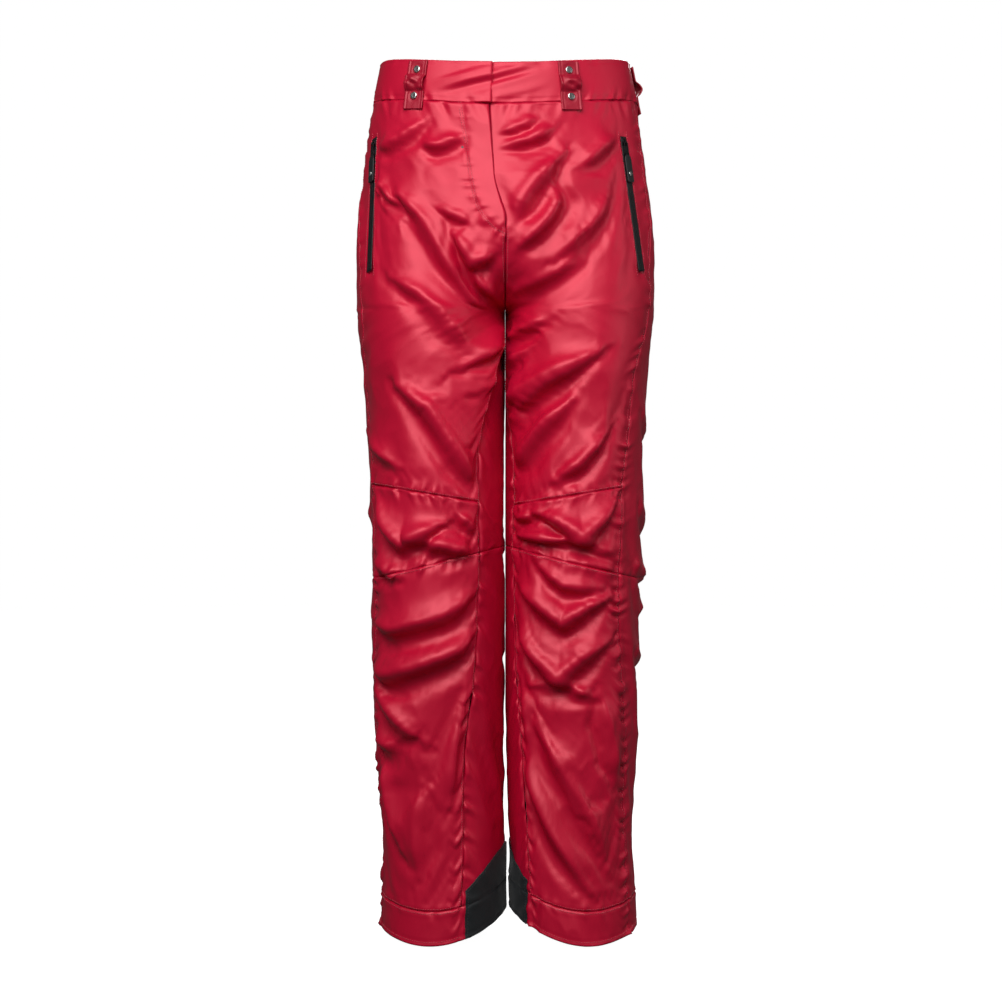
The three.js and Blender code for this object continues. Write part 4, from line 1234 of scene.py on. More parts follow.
def grow(name, carrier, tree_maker, inputs, material):
    """Runs a node tree on a carrier object and gives back the result as a plain mesh object."""
    if tree_maker.__name__ not in TREES:
        TREES[tree_maker.__name__] = tree_maker()
    tree = TREES[tree_maker.__name__]
    modifier = carrier.modifiers.new("grow", "NODES")
    modifier.node_group = tree
    sockets = {item.name: item.identifier for item in tree.interface.items_tree if item.in_out == "INPUT"}
    for label, value in {**inputs, "Finish": material}.items():
        modifier[sockets[label]] = value
    carrier.update_tag()
    view = bpy.context.evaluated_depsgraph_get()
    mesh = bpy.data.meshes.new_from_object(carrier.evaluated_get(view), depsgraph=view)
    mesh.name = name
    line_mesh = carrier.data
    carrier.modifiers.remove(modifier)
    bpy.data.objects.remove(carrier)
    bpy.data.meshes.remove(line_mesh)
    obj = new_object(name, mesh)
    if not mesh.materials:
        mesh.materials.append(material)
    return obj


def carrier_from_lines(lines):
    """A mesh of open lines; each line is (points, facings) in millimetres."""
    points, facings, edges = [], [], []
    for line, facing in lines:
        start = len(points)
        points += (np.asarray(line) * MM).tolist()
        facings += np.broadcast_to(facing, np.shape(line)).tolist()
        edges += [(start + k, start + k + 1) for k in range(len(line) - 1)]
    mesh = bpy.data.meshes.new("carrier")
    mesh.from_pydata(points, edges, [])
    layer = mesh.attributes.new("facing", "FLOAT_VECTOR", "POINT")
    layer.data.foreach_set("vector", np.asarray(facings, float).ravel())
    return new_object("carrier", mesh, smooth=False)


def drop_object(obj):
    mesh = obj.data
    bpy.data.objects.remove(obj)
    bpy.data.meshes.remove(mesh)


def build_rivets():
    head = rivet_head(bpy.context.scene.trousers_trim.rivet_radius / MM, RIVET["dome"])
    places = rivet_places()
    carrier = carrier_from_lines([([point], out) for point, out in places])
    obj = grow("belt_loop_rivets", carrier, heads_at_points_tree, {"Head": head}, material_of("nickel"))
    drop_object(head)
    nodes = [f"rivet_{name}_{end}" for name in LOOP_PLACES for end in ("top", "foot")]
    return finish_piece(obj, "trousers", "silver_rivet", *nodes)


# ---- Stitches ----
STITCH = {"pitch": 3.0, "length": 2.3, "thread": 0.45, "off": 0.25}
TWIN = 2.5                 # half the gap between the two rows of a double-stitched seam
SEAM_STITCH = 2.6          # from a leg's seam to its row of stitches
HEM_EDGE_STITCH = 4.5
ZIP_STITCH = 9.2           # from the middle of a pocket zip to the rows beside it


def stitch_item():
    """One stitch: a short rounded length of thread, pulled down at both ends."""
    rings, around = 5, 6
    points = []
    for i in range(rings):
        x = (i / (rings - 1) - 0.5) * STITCH["length"]
        swell = math.sqrt(max(0.0, 1 - (2 * x / STITCH["length"]) ** 2) + 0.04)
        for k in range(around):
            angle = 2 * math.pi * k / around
            points.append((x, STITCH["thread"] * swell * math.cos(angle),
                           STITCH["thread"] * 0.8 * swell * math.sin(angle)))
    faces = grid_faces(rings, around, False, 0, closed=True).tolist()
    faces += [list(range(around)), list(range((rings - 1) * around, rings * around))[::-1]]
    obj = new_object("stitch", mesh_from_faces("stitch", points, faces))
    outward_faces(obj)
    return obj


def stitch_rows(name, lines, key, slot, body="trousers"):
    item = stitch_item()
    carrier = carrier_from_lines(lines)
    pitch = bpy.context.scene.trousers_trim.stitch_pitch
    obj = grow(name, carrier, repeat_along_lines_tree, {"Spacing": pitch, "Item": item},
               material_of(key))
    drop_object(item)
    return finish_piece(obj, body, slot)


def build_stitches(halves):
    for half in halves:
        lines = []

        def add_row(turns, drops):
            lines.append(on_cloth(half, turns, drops, STITCH["off"]))
        hem_turns = np.linspace(0.004, 0.996, 260)
        past_guard = hem_turns[(hem_turns > 0.165) & (hem_turns < 0.84)]
        for drop in (LENGTH - HEM_BAND - TWIN, LENGTH - HEM_BAND + TWIN, LENGTH - HEM_EDGE_STITCH):
            add_row(past_guard, drop)
        front = np.linspace(0, 1, 90)
        for drop in (KNEE_TOP - TWIN, KNEE_FOOT + TWIN):
            add_row(mix(inside_seam(drop), outside_seam(drop), front), drop)
        downs = np.linspace(BAND_HEIGHT + 4, LENGTH - HEM_BAND - 6, 320)
        add_row(outside_seam(downs) - SEAM_STITCH / AROUND, downs)
        legs = downs[downs > RISE + 30]
        add_row(inside_seam(legs) + SEAM_STITCH / AROUND, legs)
        zips = np.linspace(POCKET["top"] - 5, POCKET["foot"] + 5, 70)
        for way in (-1, 1):
            add_row(zip_turns(POCKET, zips) + way * ZIP_STITCH / AROUND, zips)
        if half["side"] == SIDES["right"]:
            curve = finer(np.array(FLY_STITCH, float), 12)
            circumference = run_length(half["fine"], 1)[:, -1]
            turns = curve[:, 0] / np.interp(curve[:, 1], ROW_DROPS, circumference[::FINE])
            add_row(turns, curve[:, 1])
            add_row(turns * 0.91, curve[:, 1] - 0.6)
        centre = np.linspace(FLY_LENGTH + 8, RISE - 30, 30)
        add_row(np.full(30, SEAM_STITCH / AROUND), centre)
        stitch_rows(f"shell_stitches_{half['name']}", lines, "thread", "shell_cloth")


# ---- Pocket zips ----
TAPE = {"width": 12.0, "thick": 0.55, "depth": 0.8, "face": 1.2}
COIL = {"pitch": 1.5, "lift": 1.35}
SLIDER = {"width": 7.0, "length": 9.0, "plate": 0.8, "roof": 2.4, "below_top": 3.0}
ARCH = {"width": 2.2, "height": 2.6, "length": 4.2, "bar": 0.8}
PULLER = {"width": 12, "length": 47, "thick": 1.5, "neck": 6.6, "link": 15}
BAR_HEIGHT = SLIDER["roof"] + ARCH["height"] / 2 - 0.35
TAB_RIVET = {"radius": 3.0, "dome": 0.9, "from_end": 10}


def flat_outline(name, outline, thick, base, place, material, holes=(), bevel=0.25, segments=2):
    """A plate cut to an outline in a frame, with rounded edges."""
    edit = bmesh.new()
    rims = []
    for loop in [outline, *holes]:
        verts = [edit.verts.new((x, y, 0)) for x, y in loop]
        rims.append([edit.edges.new((a, b)) for a, b in zip(verts, verts[1:] + verts[:1])])
    bmesh.ops.triangle_fill(edit, edges=[edge for rim in rims for edge in rim], use_beauty=True)
    raised = bmesh.ops.extrude_face_region(edit, geom=edit.faces[:])
    top = [item for item in raised["geom"] if isinstance(item, bmesh.types.BMVert)]
    bmesh.ops.translate(edit, verts=top, vec=(0, 0, thick))
    bmesh.ops.recalc_face_normals(edit, faces=edit.faces)
    sharp = [edge for edge in edit.edges if edge.calc_face_angle(0) > 0.9]
    bmesh.ops.bevel(edit, geom=sharp, offset=bevel, segments=segments, affect="EDGES", profile=0.6)
    bmesh.ops.dissolve_limit(edit, angle_limit=0.01, verts=edit.verts, edges=edit.edges)
    bmesh.ops.triangulate(edit, faces=edit.faces)
    points = np.array([vert.co[:] for vert in edit.verts])
    edit.verts.index_update()
    faces = [[vert.index for vert in face.verts] for face in edit.faces]
    edit.free()
    points[:, 2] += base
    mesh = mesh_from_faces(name, in_frame(place, points), faces, points[:, :2] * MM)
    obj = new_object(name, mesh, material, smooth=False)
    outward_faces(obj)
    for polygon in mesh.polygons:
        polygon.use_smooth = True
    mesh.set_sharp_from_angle(angle=math.radians(40))
    return obj


def rounded(points, radius, steps=5):
    """An outline with its corners rounded."""
    points = np.array(points, float)
    result = []
    for before, here, after in zip(np.roll(points, 1, 0), points, np.roll(points, -1, 0)):
        reach = min(radius, np.linalg.norm(before - here) / 2.1, np.linalg.norm(after - here) / 2.1)
        start, end = here + unit(before - here) * reach, here + unit(after - here) * reach
        for k in np.linspace(0, 1, steps):
            result.append(tuple((1 - k) ** 2 * start + 2 * k * (1 - k) * here + k * k * end))
    return result


def strip_in_frame(name, place, width, start, end, thick, face, material, wave=0.0):
    """A flat strip of tape between two heights in a frame."""
    x = np.linspace(-width / 2, width / 2, 13)
    y = np.linspace(end, start, max(8, int(abs(end - start) / 2.5)))
    across, up = np.meshgrid(x, y)
    lift = face + wave * ripple(up, 14, 7)
    edge = 0.12 * bell(np.abs(across) - width / 2, 0.5)
    outer = in_frame(place, np.stack([across, up, lift - edge], axis=-1))
    inner = in_frame(place, np.stack([across, up, lift - thick + edge], axis=-1))
    obj = cloth_solid(name, outer, inner, -1, material)
    outward_faces(obj)
    return obj


def bridge_mesh(name, place, centre, material):
    """The arch on a slider that its puller hangs from."""
    angles = np.linspace(0, np.pi, 13)
    rise, reach = ARCH["height"] - ARCH["bar"] / 2, ARCH["length"] / 2 - ARCH["bar"] / 2
    section = rounded([(-ARCH["width"] / 2, -ARCH["bar"] / 2), (ARCH["width"] / 2, -ARCH["bar"] / 2),
                       (ARCH["width"] / 2, ARCH["bar"] / 2), (-ARCH["width"] / 2, ARCH["bar"] / 2)], 0.3, 3)
    rings = []
    for angle in angles:
        along, up = math.cos(angle), math.sin(angle)
        blunt = max(abs(along), abs(up)) ** 0.5
        middle = np.array([0, centre + reach * along / blunt, SLIDER["roof"] - 0.2 + rise * up / blunt])
        rings.append([middle + np.array([x, 0, 0]) + np.array([0, along, up]) * z for x, z in section])
    return loft(name, in_frame(place, np.array(rings)), 1, material)


def slider_parts(place, centre):
    """The slider: an upper plate shaped like a shield, two side walls and the arch that holds the puller."""
    half, length = SLIDER["width"] / 2, SLIDER["length"] / 2
    shield = rounded([(-half, centre + length), (half, centre + length), (half, centre - 0.2 * length),
                      (0.5 * half, centre - length), (-0.5 * half, centre - length),
                      (-half, centre - 0.2 * length)], 1.6)
    metal = material_of("black_metal")
    roof = SLIDER["roof"] - SLIDER["plate"]
    parts = [flat_outline("plate", shield, SLIDER["plate"], roof, place, metal)]
    for way in (-1, 1):
        wall = rounded([(way * (half - 1.2), centre + length - 0.6), (way * half, centre + length - 0.6),
                        (way * half, centre - 0.3 * length),
                        (way * (half - 1.2), centre - 0.5 * length)], 0.4)
        parts.append(flat_outline("wall", wall, roof + 0.1, 0.1, place, metal, bevel=0.15))
    parts.append(bridge_mesh("bridge", place, centre, metal))
    return parts


def joined(name, parts):
    """Several objects as one, with each part's material kept."""
    edit = bmesh.new()
    mesh = bpy.data.meshes.new(name)
    for part in parts:
        slots = [list(mesh.materials).index(m) if m in list(mesh.materials) else None
                 for m in part.data.materials]
        for k, slot in enumerate(slots):
            if slot is None:
                mesh.materials.append(part.data.materials[k])
        index = [list(mesh.materials).index(m) for m in part.data.materials]
        first = len(edit.faces)
        edit.from_mesh(part.data)
        edit.faces.ensure_lookup_table()
        for face in edit.faces[first:]:
            face.material_index = index[face.material_index]
    edit.to_mesh(mesh)
    edit.free()
    for part in parts:
        drop_object(part)
    return new_object(name, mesh, smooth=False)


def build_pocket_zip(name, side):
    place, length = zip_seat(side, POCKET, TAPE["depth"])
    half = length / 2
    node = f"pocket_zip_{name}"
    tape = strip_in_frame(f"{node}_tape_cloth", place, TAPE["width"], -half, half, TAPE["thick"],
                          TAPE["face"], material_of("zip_tape"))
    finish_piece(tape, "trousers", "zip_tape", f"{node}_tape")
    tooth = stitch_item()
    tooth.data.transform(Matrix.Diagonal((0.5, 3.4, 1.1, 1)))
    line = in_frame(place, [(0, y, COIL["lift"]) for y in np.linspace(half - 2, 2 - half, 60)])
    carrier = carrier_from_lines([(line, place[3])])
    coil = grow(f"{node}_teeth", carrier, repeat_along_lines_tree,
                {"Spacing": COIL["pitch"] * MM, "Item": tooth}, material_of("zip_coil"))
    drop_object(tooth)
    finish_piece(coil, "trousers", "zip_coil", f"{node}_coil")
    centre = half - SLIDER["length"] / 2 - SLIDER["below_top"]
    slider = joined(f"{node}_slider_body", slider_parts(place, centre))
    finish_piece(slider, f"pocket_slider_{name}", "black_metal", f"{node}_slider")
    build_puller(name, node, place, centre)


def build_puller(name, node, place, bar):
    """A metal link that hangs on the slider's arch, and a leather tab riveted to it."""
    neck, link = PULLER["neck"] / 2, PULLER["link"]
    outer = rounded([(-neck, bar + 0.45), (neck, bar + 0.45), (neck + 0.2, bar - link - 2),
                     (-neck - 0.2, bar - link - 2)], 1.2)
    inner = rounded([(-neck + 1.3, bar - 0.45), (neck - 1.3, bar - 0.45), (neck - 1.3, bar - link + 2.2),
                     (-neck + 1.3, bar - link + 2.2)], 1.0)
    body = f"pocket_puller_{name}"
    metal = flat_outline(f"{node}_link", outer, 0.9, BAR_HEIGHT - 0.45, place, material_of("black_metal"),
                         holes=[inner], bevel=0.2)
    finish_piece(metal, body, "black_metal")
    edge, start, end = PULLER["width"] / 2, bar - link + 0.4, bar - PULLER["length"]
    outline = rounded([(-neck - 0.6, start), (neck + 0.6, start), (edge, start - 5), (edge, end),
                       (-edge, end), (-edge, start - 5)], 2.4, 6)
    tab = flat_outline(f"{node}_tab", outline, PULLER["thick"], BAR_HEIGHT - PULLER["thick"] / 2, place,
                       material_of("leather"), bevel=0.4, segments=3)
    finish_piece(tab, body, "puller_tab", f"{node}_puller")
    inset = [(x * 0.8, (y - (start + end) / 2) * 0.91 + (start + end) / 2) for x, y in outline]
    rim = in_frame(place, [(x, y, BAR_HEIGHT + PULLER["thick"] / 2 + 0.05) for x, y in inset + inset[:1]])
    item = stitch_item()
    item.data.transform(Matrix.Diagonal((0.6, 0.6, 0.6, 1)))
    carrier = carrier_from_lines([(rim, place[3])])
    row = grow(f"{node}_tab_stitches", carrier, repeat_along_lines_tree,
               {"Spacing": 2.0 * MM, "Item": item}, material_of("black_thread"))
    drop_object(item)
    finish_piece(row, body, "puller_tab")
    head = rivet_head(TAB_RIVET["radius"], TAB_RIVET["dome"], f"{node}_tab_rivet")
    centre = in_frame(place, (0, end + TAB_RIVET["from_end"], BAR_HEIGHT + PULLER["thick"] / 2 + 0.05))
    turn = Matrix((place[1], place[2], place[3])).transposed().to_4x4()
    head.data.transform(Matrix.Translation(Vector(centre * MM)) @ turn)
    head.data.materials.append(material_of("nickel"))
    finish_piece(head, body, "silver_rivet", f"{node}_puller_rivet")


# ---- Ankle guards ----
GUARD = {"reach": 0.155, "edge_rise": 54, "middle_rise": 90, "off": 0.7, "thick": 1.3}


def guard_top(share):
    return LENGTH - mix(GUARD["middle_rise"], GUARD["edge_rise"], np.abs(2 * share - 1) ** 1.5)


def build_guard(half):
    name, side = half["name"], half["side"]
    share = np.linspace(0, 1, 90)[None, :]
    down = np.linspace(0, 1, 46)[:, None]
    turns = 1 + GUARD["reach"] * (2 * share - 1)
    drops = mix(guard_top(share), LENGTH + 0.4, down)
    points, normals = on_cloth(half, np.broadcast_to(turns, drops.shape), np.minimum(drops, LENGTH))
    points[..., 2] -= np.maximum(0, drops - LENGTH)
    rim = np.minimum(np.minimum(share, 1 - share) * 160, np.minimum(down * 70, (1 - down) * 60))
    lift = 0.3 * crumple(turns * AROUND, drops, 30, 91) - 0.45 * bell(rim - 3.5, 0.8) - 0.5 * bell(rim, 1.0)
    outer = points + normals * (GUARD["off"] + GUARD["thick"] + lift)[..., None]
    inner = points + normals * (GUARD["off"] + 0.4 * bell(rim, 1.0))[..., None]
    obj = cloth_solid(f"ankle_guard_{name}_panel", outer, inner, side, material_of("guard"))
    finish_piece(obj, "trousers", "guard_cloth", f"ankle_guard_{name}")
    declare_sheet(obj, outer)
    inset = 3.5 / 160
    lines = []
    for way in (-1, 1):
        along = np.linspace(0.06, 0.94, 30)
        turn = np.full(30, 1 + way * GUARD["reach"] * (1 - 2 * inset))
        lines.append((turn, mix(guard_top(np.full(30, 0.5 + way * 0.48)), LENGTH, along)))
    shares = np.linspace(0.03, 0.97, 70)
    lines.append((1 + GUARD["reach"] * (2 * shares - 1), guard_top(shares) + 3.5))
    laid = []
    for turn, drop in lines:
        place, facing = on_cloth(half, turn, drop, GUARD["off"] + GUARD["thick"] - 0.25)
        laid.append((place, facing))
    stitch_rows(f"ankle_guard_{name}_stitches", laid, "black_thread", "guard_cloth")


# ---- Inside: lining, pocket bags, snow gaiters, fly pieces ----
def build_lining(half):
    name, side = half["name"], half["side"]
    drops = np.linspace(BAND_HEIGHT, LENGTH - HEM_BAND, 110)[:, None]
    turns = np.linspace(0, 1, 61)[None, :]
    depth = mix(BODY_WALL, 9.2, ease(drops, RISE, KNEE_TOP))
    depth = mix(depth, 6.0, ease(drops, 800, 872))
    depth = mix(BAND_THICK + 0.4, depth, ease(drops, BAND_HEIGHT + 2, BAND_HEIGHT + 40))
    depth = depth + 0.5 * crumple(turns * AROUND, drops, 38, 33)
    outer = plain_grid(side, turns, drops, -depth)
    inner = plain_grid(side, turns, drops, -depth - 0.5)
    obj = cloth_solid(f"lining_{name}_cloth", outer, inner, side, material_of("lining"))
    finish_piece(obj, "trousers", "lining_cloth", f"lining_{name}")
    declare_sheet(obj, outer)


BAG = {"front": 0.27, "back": 0.46, "foot": 286, "depth": 8.4, "thick": 0.9}


def build_pocket_bag(half):
    name, side = half["name"], half["side"]
    drops = np.linspace(POCKET["top"], BAG["foot"], 46)[:, None]
    turns = np.linspace(BAG["front"], BAG["back"], 30)[None, :]
    lift = -BAG["depth"] + 0.2 * crumple(turns * AROUND, drops, 22, 44)
    obj = cloth_solid(f"pocket_bag_{name}_cloth", plain_grid(side, turns, drops, lift),
                      plain_grid(side, turns, drops, lift - BAG["thick"]), side, material_of("lining"))
    finish_piece(obj, "trousers", "lining_cloth", f"pocket_bag_{name}")
    declare_sheet(obj, plain_grid(side, turns, drops, lift))


GAITER = {"top": 872, "foot": 992, "grip": 24, "gathers": 36}


def build_gaiter(half):
    name, side = half["name"], half["side"]
    drops = np.linspace(GAITER["top"], GAITER["foot"], 60)[:, None]
    turns = np.linspace(0, 1, 289)[None, :-1]
    drawn = ease(drops, GAITER["top"] + 20, GAITER["foot"])
    depth = mix(7.2, GAITER["grip"], drawn)
    gathers = 2.2 * drawn * ripple(turns * GAITER["gathers"] * 2, 1.0, 55) * ease(turns, 0, 0.02) * (
        1 - ease(turns, 0.98, 1))
    elastic = 0.8 * bell(drops - (GAITER["foot"] - 6), 5) - 0.6 * bell(drops - (GAITER["foot"] - 13), 1.5)
    depth = depth + gathers - elastic
    outer = plain_grid(side, turns, drops, -depth)
    inner = plain_grid(side, turns, drops, -depth - 0.6)
    obj = cloth_solid(f"snow_gaiter_{name}_cloth", outer, inner, side, material_of("gaiter"), closed=True)
    finish_piece(obj, "trousers", "gaiter_cloth", f"snow_gaiter_{name}")
    declare_sheet(obj, outer)


# Each piece: where it starts, as a turn, and the depths of its two faces.
FLY_PIECES = {"fly_facing": (0.004, -2.4, -2.85), "fly_underlap": (-0.03, -9.1, -9.7)}


def build_fly_pieces():
    for node, (start, over, under) in FLY_PIECES.items():
        drops = np.linspace(BAND_HEIGHT, FLY_LENGTH, 40)[:, None]
        turns = np.linspace(start, FLY_TURN, 18)[None, :]
        outer = plain_grid(-1, turns, drops, over + 0 * drops)
        inner = plain_grid(-1, turns, drops, under + 0 * drops)
        obj = cloth_solid(f"{node}_cloth", outer, inner, -1, material_of("lining"))
        finish_piece(obj, "trousers", "lining_cloth", node)
        declare_sheet(obj, outer)


CARRIED_OVER = {"fly_zip_tape": "zip_tape", "fly_zip_coil": "zip_coil", "fly_zip_slider": "black_metal",
                "fly_zip_puller": "black_metal", "waist_socket": "nickel", "waist_stud": "nickel"}


def finish_carried_over():
    for node, key in CARRIED_OVER.items():
        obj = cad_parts[node]
        obj.data.materials.clear()
        obj.data.materials.append(material_of(key))


# ---- More materials ----
def coated_nylon():
    """Heavy nylon with a matt coating: near black, a coarse weave just showing through."""
    material, tree, shader = new_material("coated ballistic nylon", Roughness=0.62, Specular_IOR_Level=0.35,
                                          Sheen_Weight=0.1, Sheen_Roughness=0.5)
    place = add_node(tree, "ShaderNodeUVMap", uv_map="Cloth").outputs[0]
    cloud = add_node(tree, "ShaderNodeTexNoise", {"Vector": place, "Scale": 30.0, "Detail": 4.0})
    tree.links.new(two_tone(tree, "#07090B", "#11171A", cloud.outputs["Fac"]), shader.inputs["Base Color"])
    # The real yarns are 0.5 mm apart; they are drawn 1 mm apart so that they show.
    bump(tree, shader, weave_height(tree, 0.001, place), 0.25, 0.0003)
    return material


def taffeta(name, dark, light):
    """Plain woven filament lining: smooth, thin, with a faint dry shine."""
    material, tree, shader = new_material(name, Roughness=0.5, Sheen_Weight=0.15, Sheen_Roughness=0.4)
    place = add_node(tree, "ShaderNodeUVMap", uv_map="Cloth").outputs[0]
    cloud = add_node(tree, "ShaderNodeTexNoise", {"Vector": place, "Scale": 25.0, "Detail": 4.0})
    tree.links.new(two_tone(tree, dark, light, cloud.outputs["Fac"]), shader.inputs["Base Color"])
    bump(tree, shader, weave_height(tree, 0.0008, place), 0.15, 0.0002)
    return material


def zip_tape_cloth():
    """Polyester zip tape with a smooth coating: black, with a soft even shine."""
    material, tree, shader = new_material("coated polyester zip tape", Roughness=0.38)
    place = add_node(tree, "ShaderNodeTexCoord").outputs["Object"]
    grain = add_node(tree, "ShaderNodeTexNoise", {"Vector": place, "Scale": 900.0, "Detail": 2.0})
    tree.links.new(two_tone(tree, "#070708", "#131315", grain.outputs["Fac"]), shader.inputs["Base Color"])
    bump(tree, shader, grain.outputs["Fac"], 0.15, 0.0002)
    return material


def plain_finish(name, dark, light, scale, strength, **sockets):
    """A finish with a fine grain in its colour and its surface, on object coordinates."""
    material, tree, shader = new_material(name, **sockets)
    place = add_node(tree, "ShaderNodeTexCoord").outputs["Object"]
    grain = add_node(tree, "ShaderNodeTexNoise", {"Vector": place, "Scale": scale, "Detail": 4.0})
    tree.links.new(two_tone(tree, dark, light, grain.outputs["Fac"]), shader.inputs["Base Color"])
    bump(tree, shader, grain.outputs["Fac"], strength, 0.0002)
    return material


def split_leather():
    """Coated split leather: black, finely pebbled, a little shiny where it is handled."""
    material, tree, shader = new_material("coated split leather", Roughness=0.45)
    place = add_node(tree, "ShaderNodeTexCoord").outputs["Object"]
    # Leather grain is about 0.4 mm across; it is drawn at 0.8 mm.
    cells = add_node(tree, "ShaderNodeTexVoronoi", {"Vector": place, "Scale": 1250.0}, feature="F1")
    tree.links.new(two_tone(tree, "#0B0D0E", "#181B1C", cells.outputs["Distance"]),
                   shader.inputs["Base Color"])
    bump(tree, shader, cells.outputs["Distance"], 0.35, 0.0002)
    return material


MATERIALS.update({
    "guard": coated_nylon,
    "lining": lambda: taffeta("lining taffeta", "#202025", "#2E2E34"),
    "gaiter": lambda: taffeta("gaiter nylon", "#17171A", "#242428"),
    "zip_tape": zip_tape_cloth,
    "zip_coil": lambda: plain_finish("drawn nylon zip coil", "#08080A", "#141416", 700.0, 0.1,
                                     Roughness=0.3),
    "black_metal": lambda: plain_finish("enamelled zinc die casting", "#0A0A0C", "#18181A", 500.0, 0.12,
                                        Roughness=0.28, Metallic=0.6),
    "nickel": lambda: plain_finish("nickel plated brass", "#B4B4B2", "#D2D2CF", 400.0, 0.08,
                                   Roughness=0.24, Metallic=1.0),
    "leather": split_leather,
    "thread": lambda: plain_finish("polyester sewing thread", "#A00024", "#C81E44", 2500.0, 0.3,
                                   Roughness=0.5, Sheen_Weight=0.3),
    "black_thread": lambda: plain_finish("black sewing thread", "#15191B", "#262B2E", 2500.0, 0.3,
                                         Roughness=0.6),
})


# ---- The add-on ----
WORN = []


def worn():
    """Both halves of the shell, draped the first time they're wanted."""
    if not WORN:
        WORN.extend(worn_halves())
        for half in WORN:
            make_fine(half)
    return WORN


class TrousersCloth(bpy.types.PropertyGroup):
    """The shell cloth: its colours, thickness and how deeply it folds."""
    dark: FloatVectorProperty(name="Dark thread", description="Colour of the darker patches of the cloth",
                              subtype="COLOR", size=3, min=0.0, max=1.0, default=linear("#AC0026")[:3])
    light: FloatVectorProperty(name="Light thread", description="Colour of the lighter patches of the cloth",
                               subtype="COLOR", size=3, min=0.0, max=1.0, default=linear("#CC0036")[:3])
    thickness: FloatProperty(name="Thickness", description="Thickness of the shell cloth",
                             unit="LENGTH", min=0.0003, max=0.0015, default=SHELL_THICK * MM)
    fold_strength: FloatProperty(name="Folds", description="Depth of the folds, 1 as the trousers are worn",
                                 subtype="FACTOR", min=0.0, max=1.2, default=1.0)


class TrousersTrim(bpy.types.PropertyGroup):
    """Rivets and stitches."""
    rivet_radius: FloatProperty(name="Rivet radius", description="Radius of a belt-loop rivet's head",
                                unit="LENGTH", min=0.002, max=0.005, default=RIVET["radius"] * MM)
    stitch_pitch: FloatProperty(name="Stitch pitch", description="Distance from one stitch to the next",
                                unit="LENGTH", min=0.0024, max=0.006, default=STITCH["pitch"] * MM)


class TrousersStudio(bpy.types.PropertyGroup):
    """The lamps."""
    key: FloatProperty(name="Key lamp", description="Power of the big lamp above the front",
                       unit="POWER", min=0.0, max=500.0, default=68.0)
    side: FloatProperty(name="Side lamp", description="Power of the lamp beside the trousers",
                        unit="POWER", min=0.0, max=500.0, default=9.0)
    back: FloatProperty(name="Back lamp", description="Power of the lamp behind the trousers",
                        unit="POWER", min=0.0, max=500.0, default=50.0)
    fill: FloatProperty(name="Fill", description="Strength of the even light from all round",
                        subtype="FACTOR", min=0.0, max=2.0, default=0.08)


class TROUSERS_OT_shell(bpy.types.Operator):
    """Drape the shell and cut it into its panels"""
    bl_idname = "trousers.shell"
    bl_label = "Shell panels"

    def execute(self, context):
        for half in worn():
            build_shell(half)
        return {"FINISHED"}


class TROUSERS_OT_waistband(bpy.types.Operator):
    """Build the four pieces of the waistband"""
    bl_idname = "trousers.waistband"
    bl_label = "Waistband"

    def execute(self, context):
        build_waistband()
        return {"FINISHED"}


class TROUSERS_OT_belt_loops(bpy.types.Operator):
    """Build the five belt loops"""
    bl_idname = "trousers.belt_loops"
    bl_label = "Belt loops"

    def execute(self, context):
        build_belt_loops()
        return {"FINISHED"}


class TROUSERS_OT_rivets(bpy.types.Operator):
    """Set a rivet at both ends of every belt loop"""
    bl_idname = "trousers.rivets"
    bl_label = "Rivets"

    def execute(self, context):
        build_rivets()
        return {"FINISHED"}


class TROUSERS_OT_pocket_zips(bpy.types.Operator):
    """Build both pocket zips with their sliders and pull tabs"""
    bl_idname = "trousers.pocket_zips"
    bl_label = "Pocket zips"

    def execute(self, context):
        for name, side in SIDES.items():
            build_pocket_zip(name, side)
        return {"FINISHED"}


class TROUSERS_OT_ankle_guards(bpy.types.Operator):
    """Lay a guard over the inside of each hem"""
    bl_idname = "trousers.ankle_guards"
    bl_label = "Ankle guards"

    def execute(self, context):
        for half in worn():
            build_guard(half)
        return {"FINISHED"}


class TROUSERS_OT_linings(bpy.types.Operator):
    """Line both legs"""
    bl_idname = "trousers.linings"
    bl_label = "Linings"

    def execute(self, context):
        for half in worn():
            build_lining(half)
        return {"FINISHED"}


class TROUSERS_OT_pocket_bags(bpy.types.Operator):
    """Hang a bag behind each pocket zip"""
    bl_idname = "trousers.pocket_bags"
    bl_label = "Pocket bags"

    def execute(self, context):
        for half in worn():
            build_pocket_bag(half)
        return {"FINISHED"}


class TROUSERS_OT_snow_gaiters(bpy.types.Operator):
    """Build the gathered gaiter inside each hem"""
    bl_idname = "trousers.snow_gaiters"
    bl_label = "Snow gaiters"

    def execute(self, context):
        for half in worn():
            build_gaiter(half)
        return {"FINISHED"}


class TROUSERS_OT_fly(bpy.types.Operator):
    """Build the facing and the underlap of the fly"""
    bl_idname = "trousers.fly"
    bl_label = "Fly"

    def execute(self, context):
        build_fly_pieces()
        return {"FINISHED"}


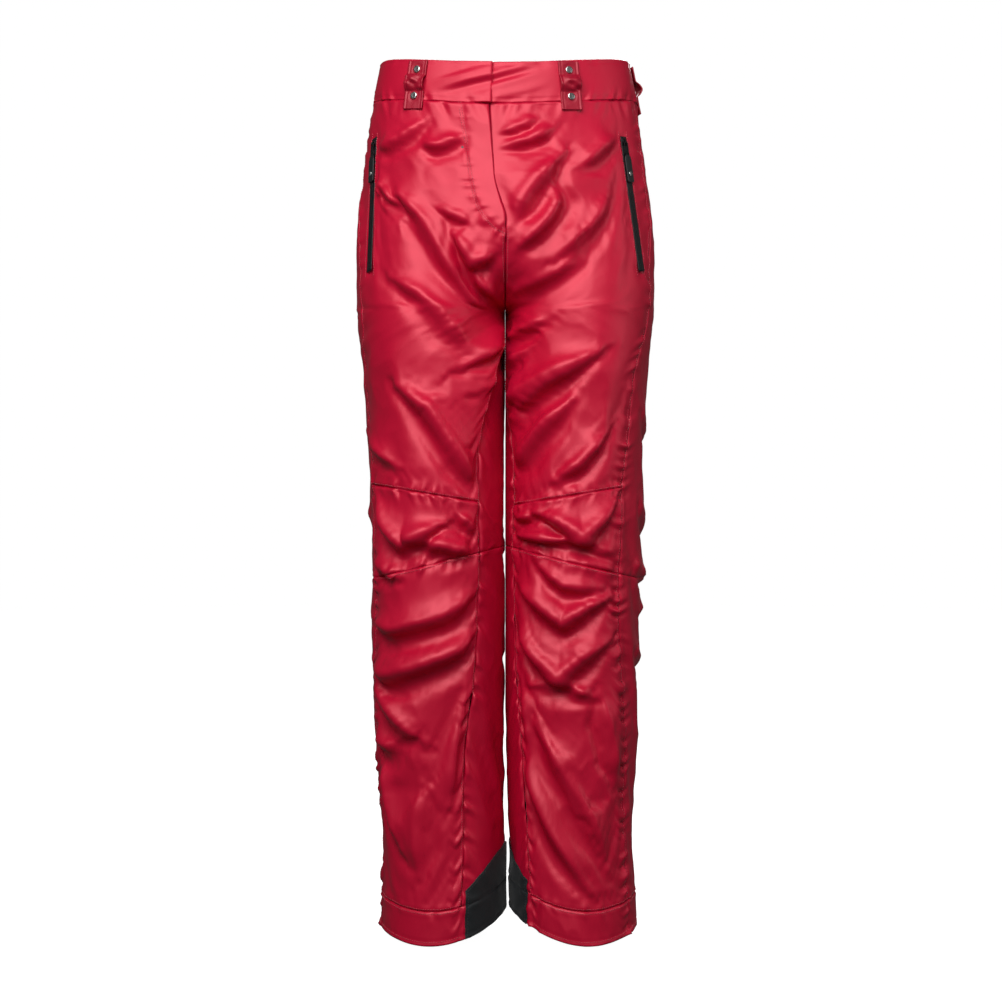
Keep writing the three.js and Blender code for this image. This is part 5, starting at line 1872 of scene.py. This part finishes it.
class TROUSERS_OT_hardware(bpy.types.Operator):
    """Give the hidden zip and the waist fastener their finishes"""
    bl_idname = "trousers.hardware"
    bl_label = "Fly zip and fastener"

    def execute(self, context):
        finish_carried_over()
        return {"FINISHED"}


class TROUSERS_OT_stitches(bpy.types.Operator):
    """Run the rows of stitches along the seams"""
    bl_idname = "trousers.stitches"
    bl_label = "Stitches"

    def execute(self, context):
        build_stitches(worn())
        return {"FINISHED"}


class TROUSERS_OT_stage(bpy.types.Operator):
    """Set up the floor, the lamps and the camera"""
    bl_idname = "trousers.stage"
    bl_label = "Stage"

    def execute(self, context):
        build_stage()
        return {"FINISHED"}


STEPS = (TROUSERS_OT_shell, TROUSERS_OT_waistband, TROUSERS_OT_belt_loops, TROUSERS_OT_rivets,
         TROUSERS_OT_pocket_zips, TROUSERS_OT_ankle_guards, TROUSERS_OT_linings,
         TROUSERS_OT_pocket_bags, TROUSERS_OT_snow_gaiters, TROUSERS_OT_fly, TROUSERS_OT_hardware,
         TROUSERS_OT_stitches, TROUSERS_OT_stage)


class TROUSERS_PT_panel(bpy.types.Panel):
    """Lists the sizes, the colours and the steps of the build."""
    bl_idname = "TROUSERS_PT_panel"
    bl_label = "Ski Trousers"
    bl_space_type = "VIEW_3D"
    bl_region_type = "UI"
    bl_category = "Trousers"

    def draw(self, context):
        for group in GROUPS:
            settings = getattr(context.scene, group)
            box = self.layout.box()
            for name in settings.__annotations__:
                box.prop(settings, name)
        for step in STEPS:
            self.layout.operator(step.bl_idname)


GROUPS = {"trousers_cloth": TrousersCloth, "trousers_trim": TrousersTrim, "trousers_studio": TrousersStudio}
CLASSES = (*GROUPS.values(), *STEPS, TROUSERS_PT_panel)


def register():
    for kind in CLASSES:
        bpy.utils.register_class(kind)
    for name, kind in GROUPS.items():
        setattr(bpy.types.Scene, name, PointerProperty(type=kind))


def unregister():
    for name in GROUPS:
        delattr(bpy.types.Scene, name)
    for kind in reversed(CLASSES):
        bpy.utils.unregister_class(kind)


def main():
    register()
    for step in STEPS:
        group, name = step.bl_idname.split(".")
        getattr(getattr(bpy.ops, group), name)()


if __name__ == "__main__":
    main()
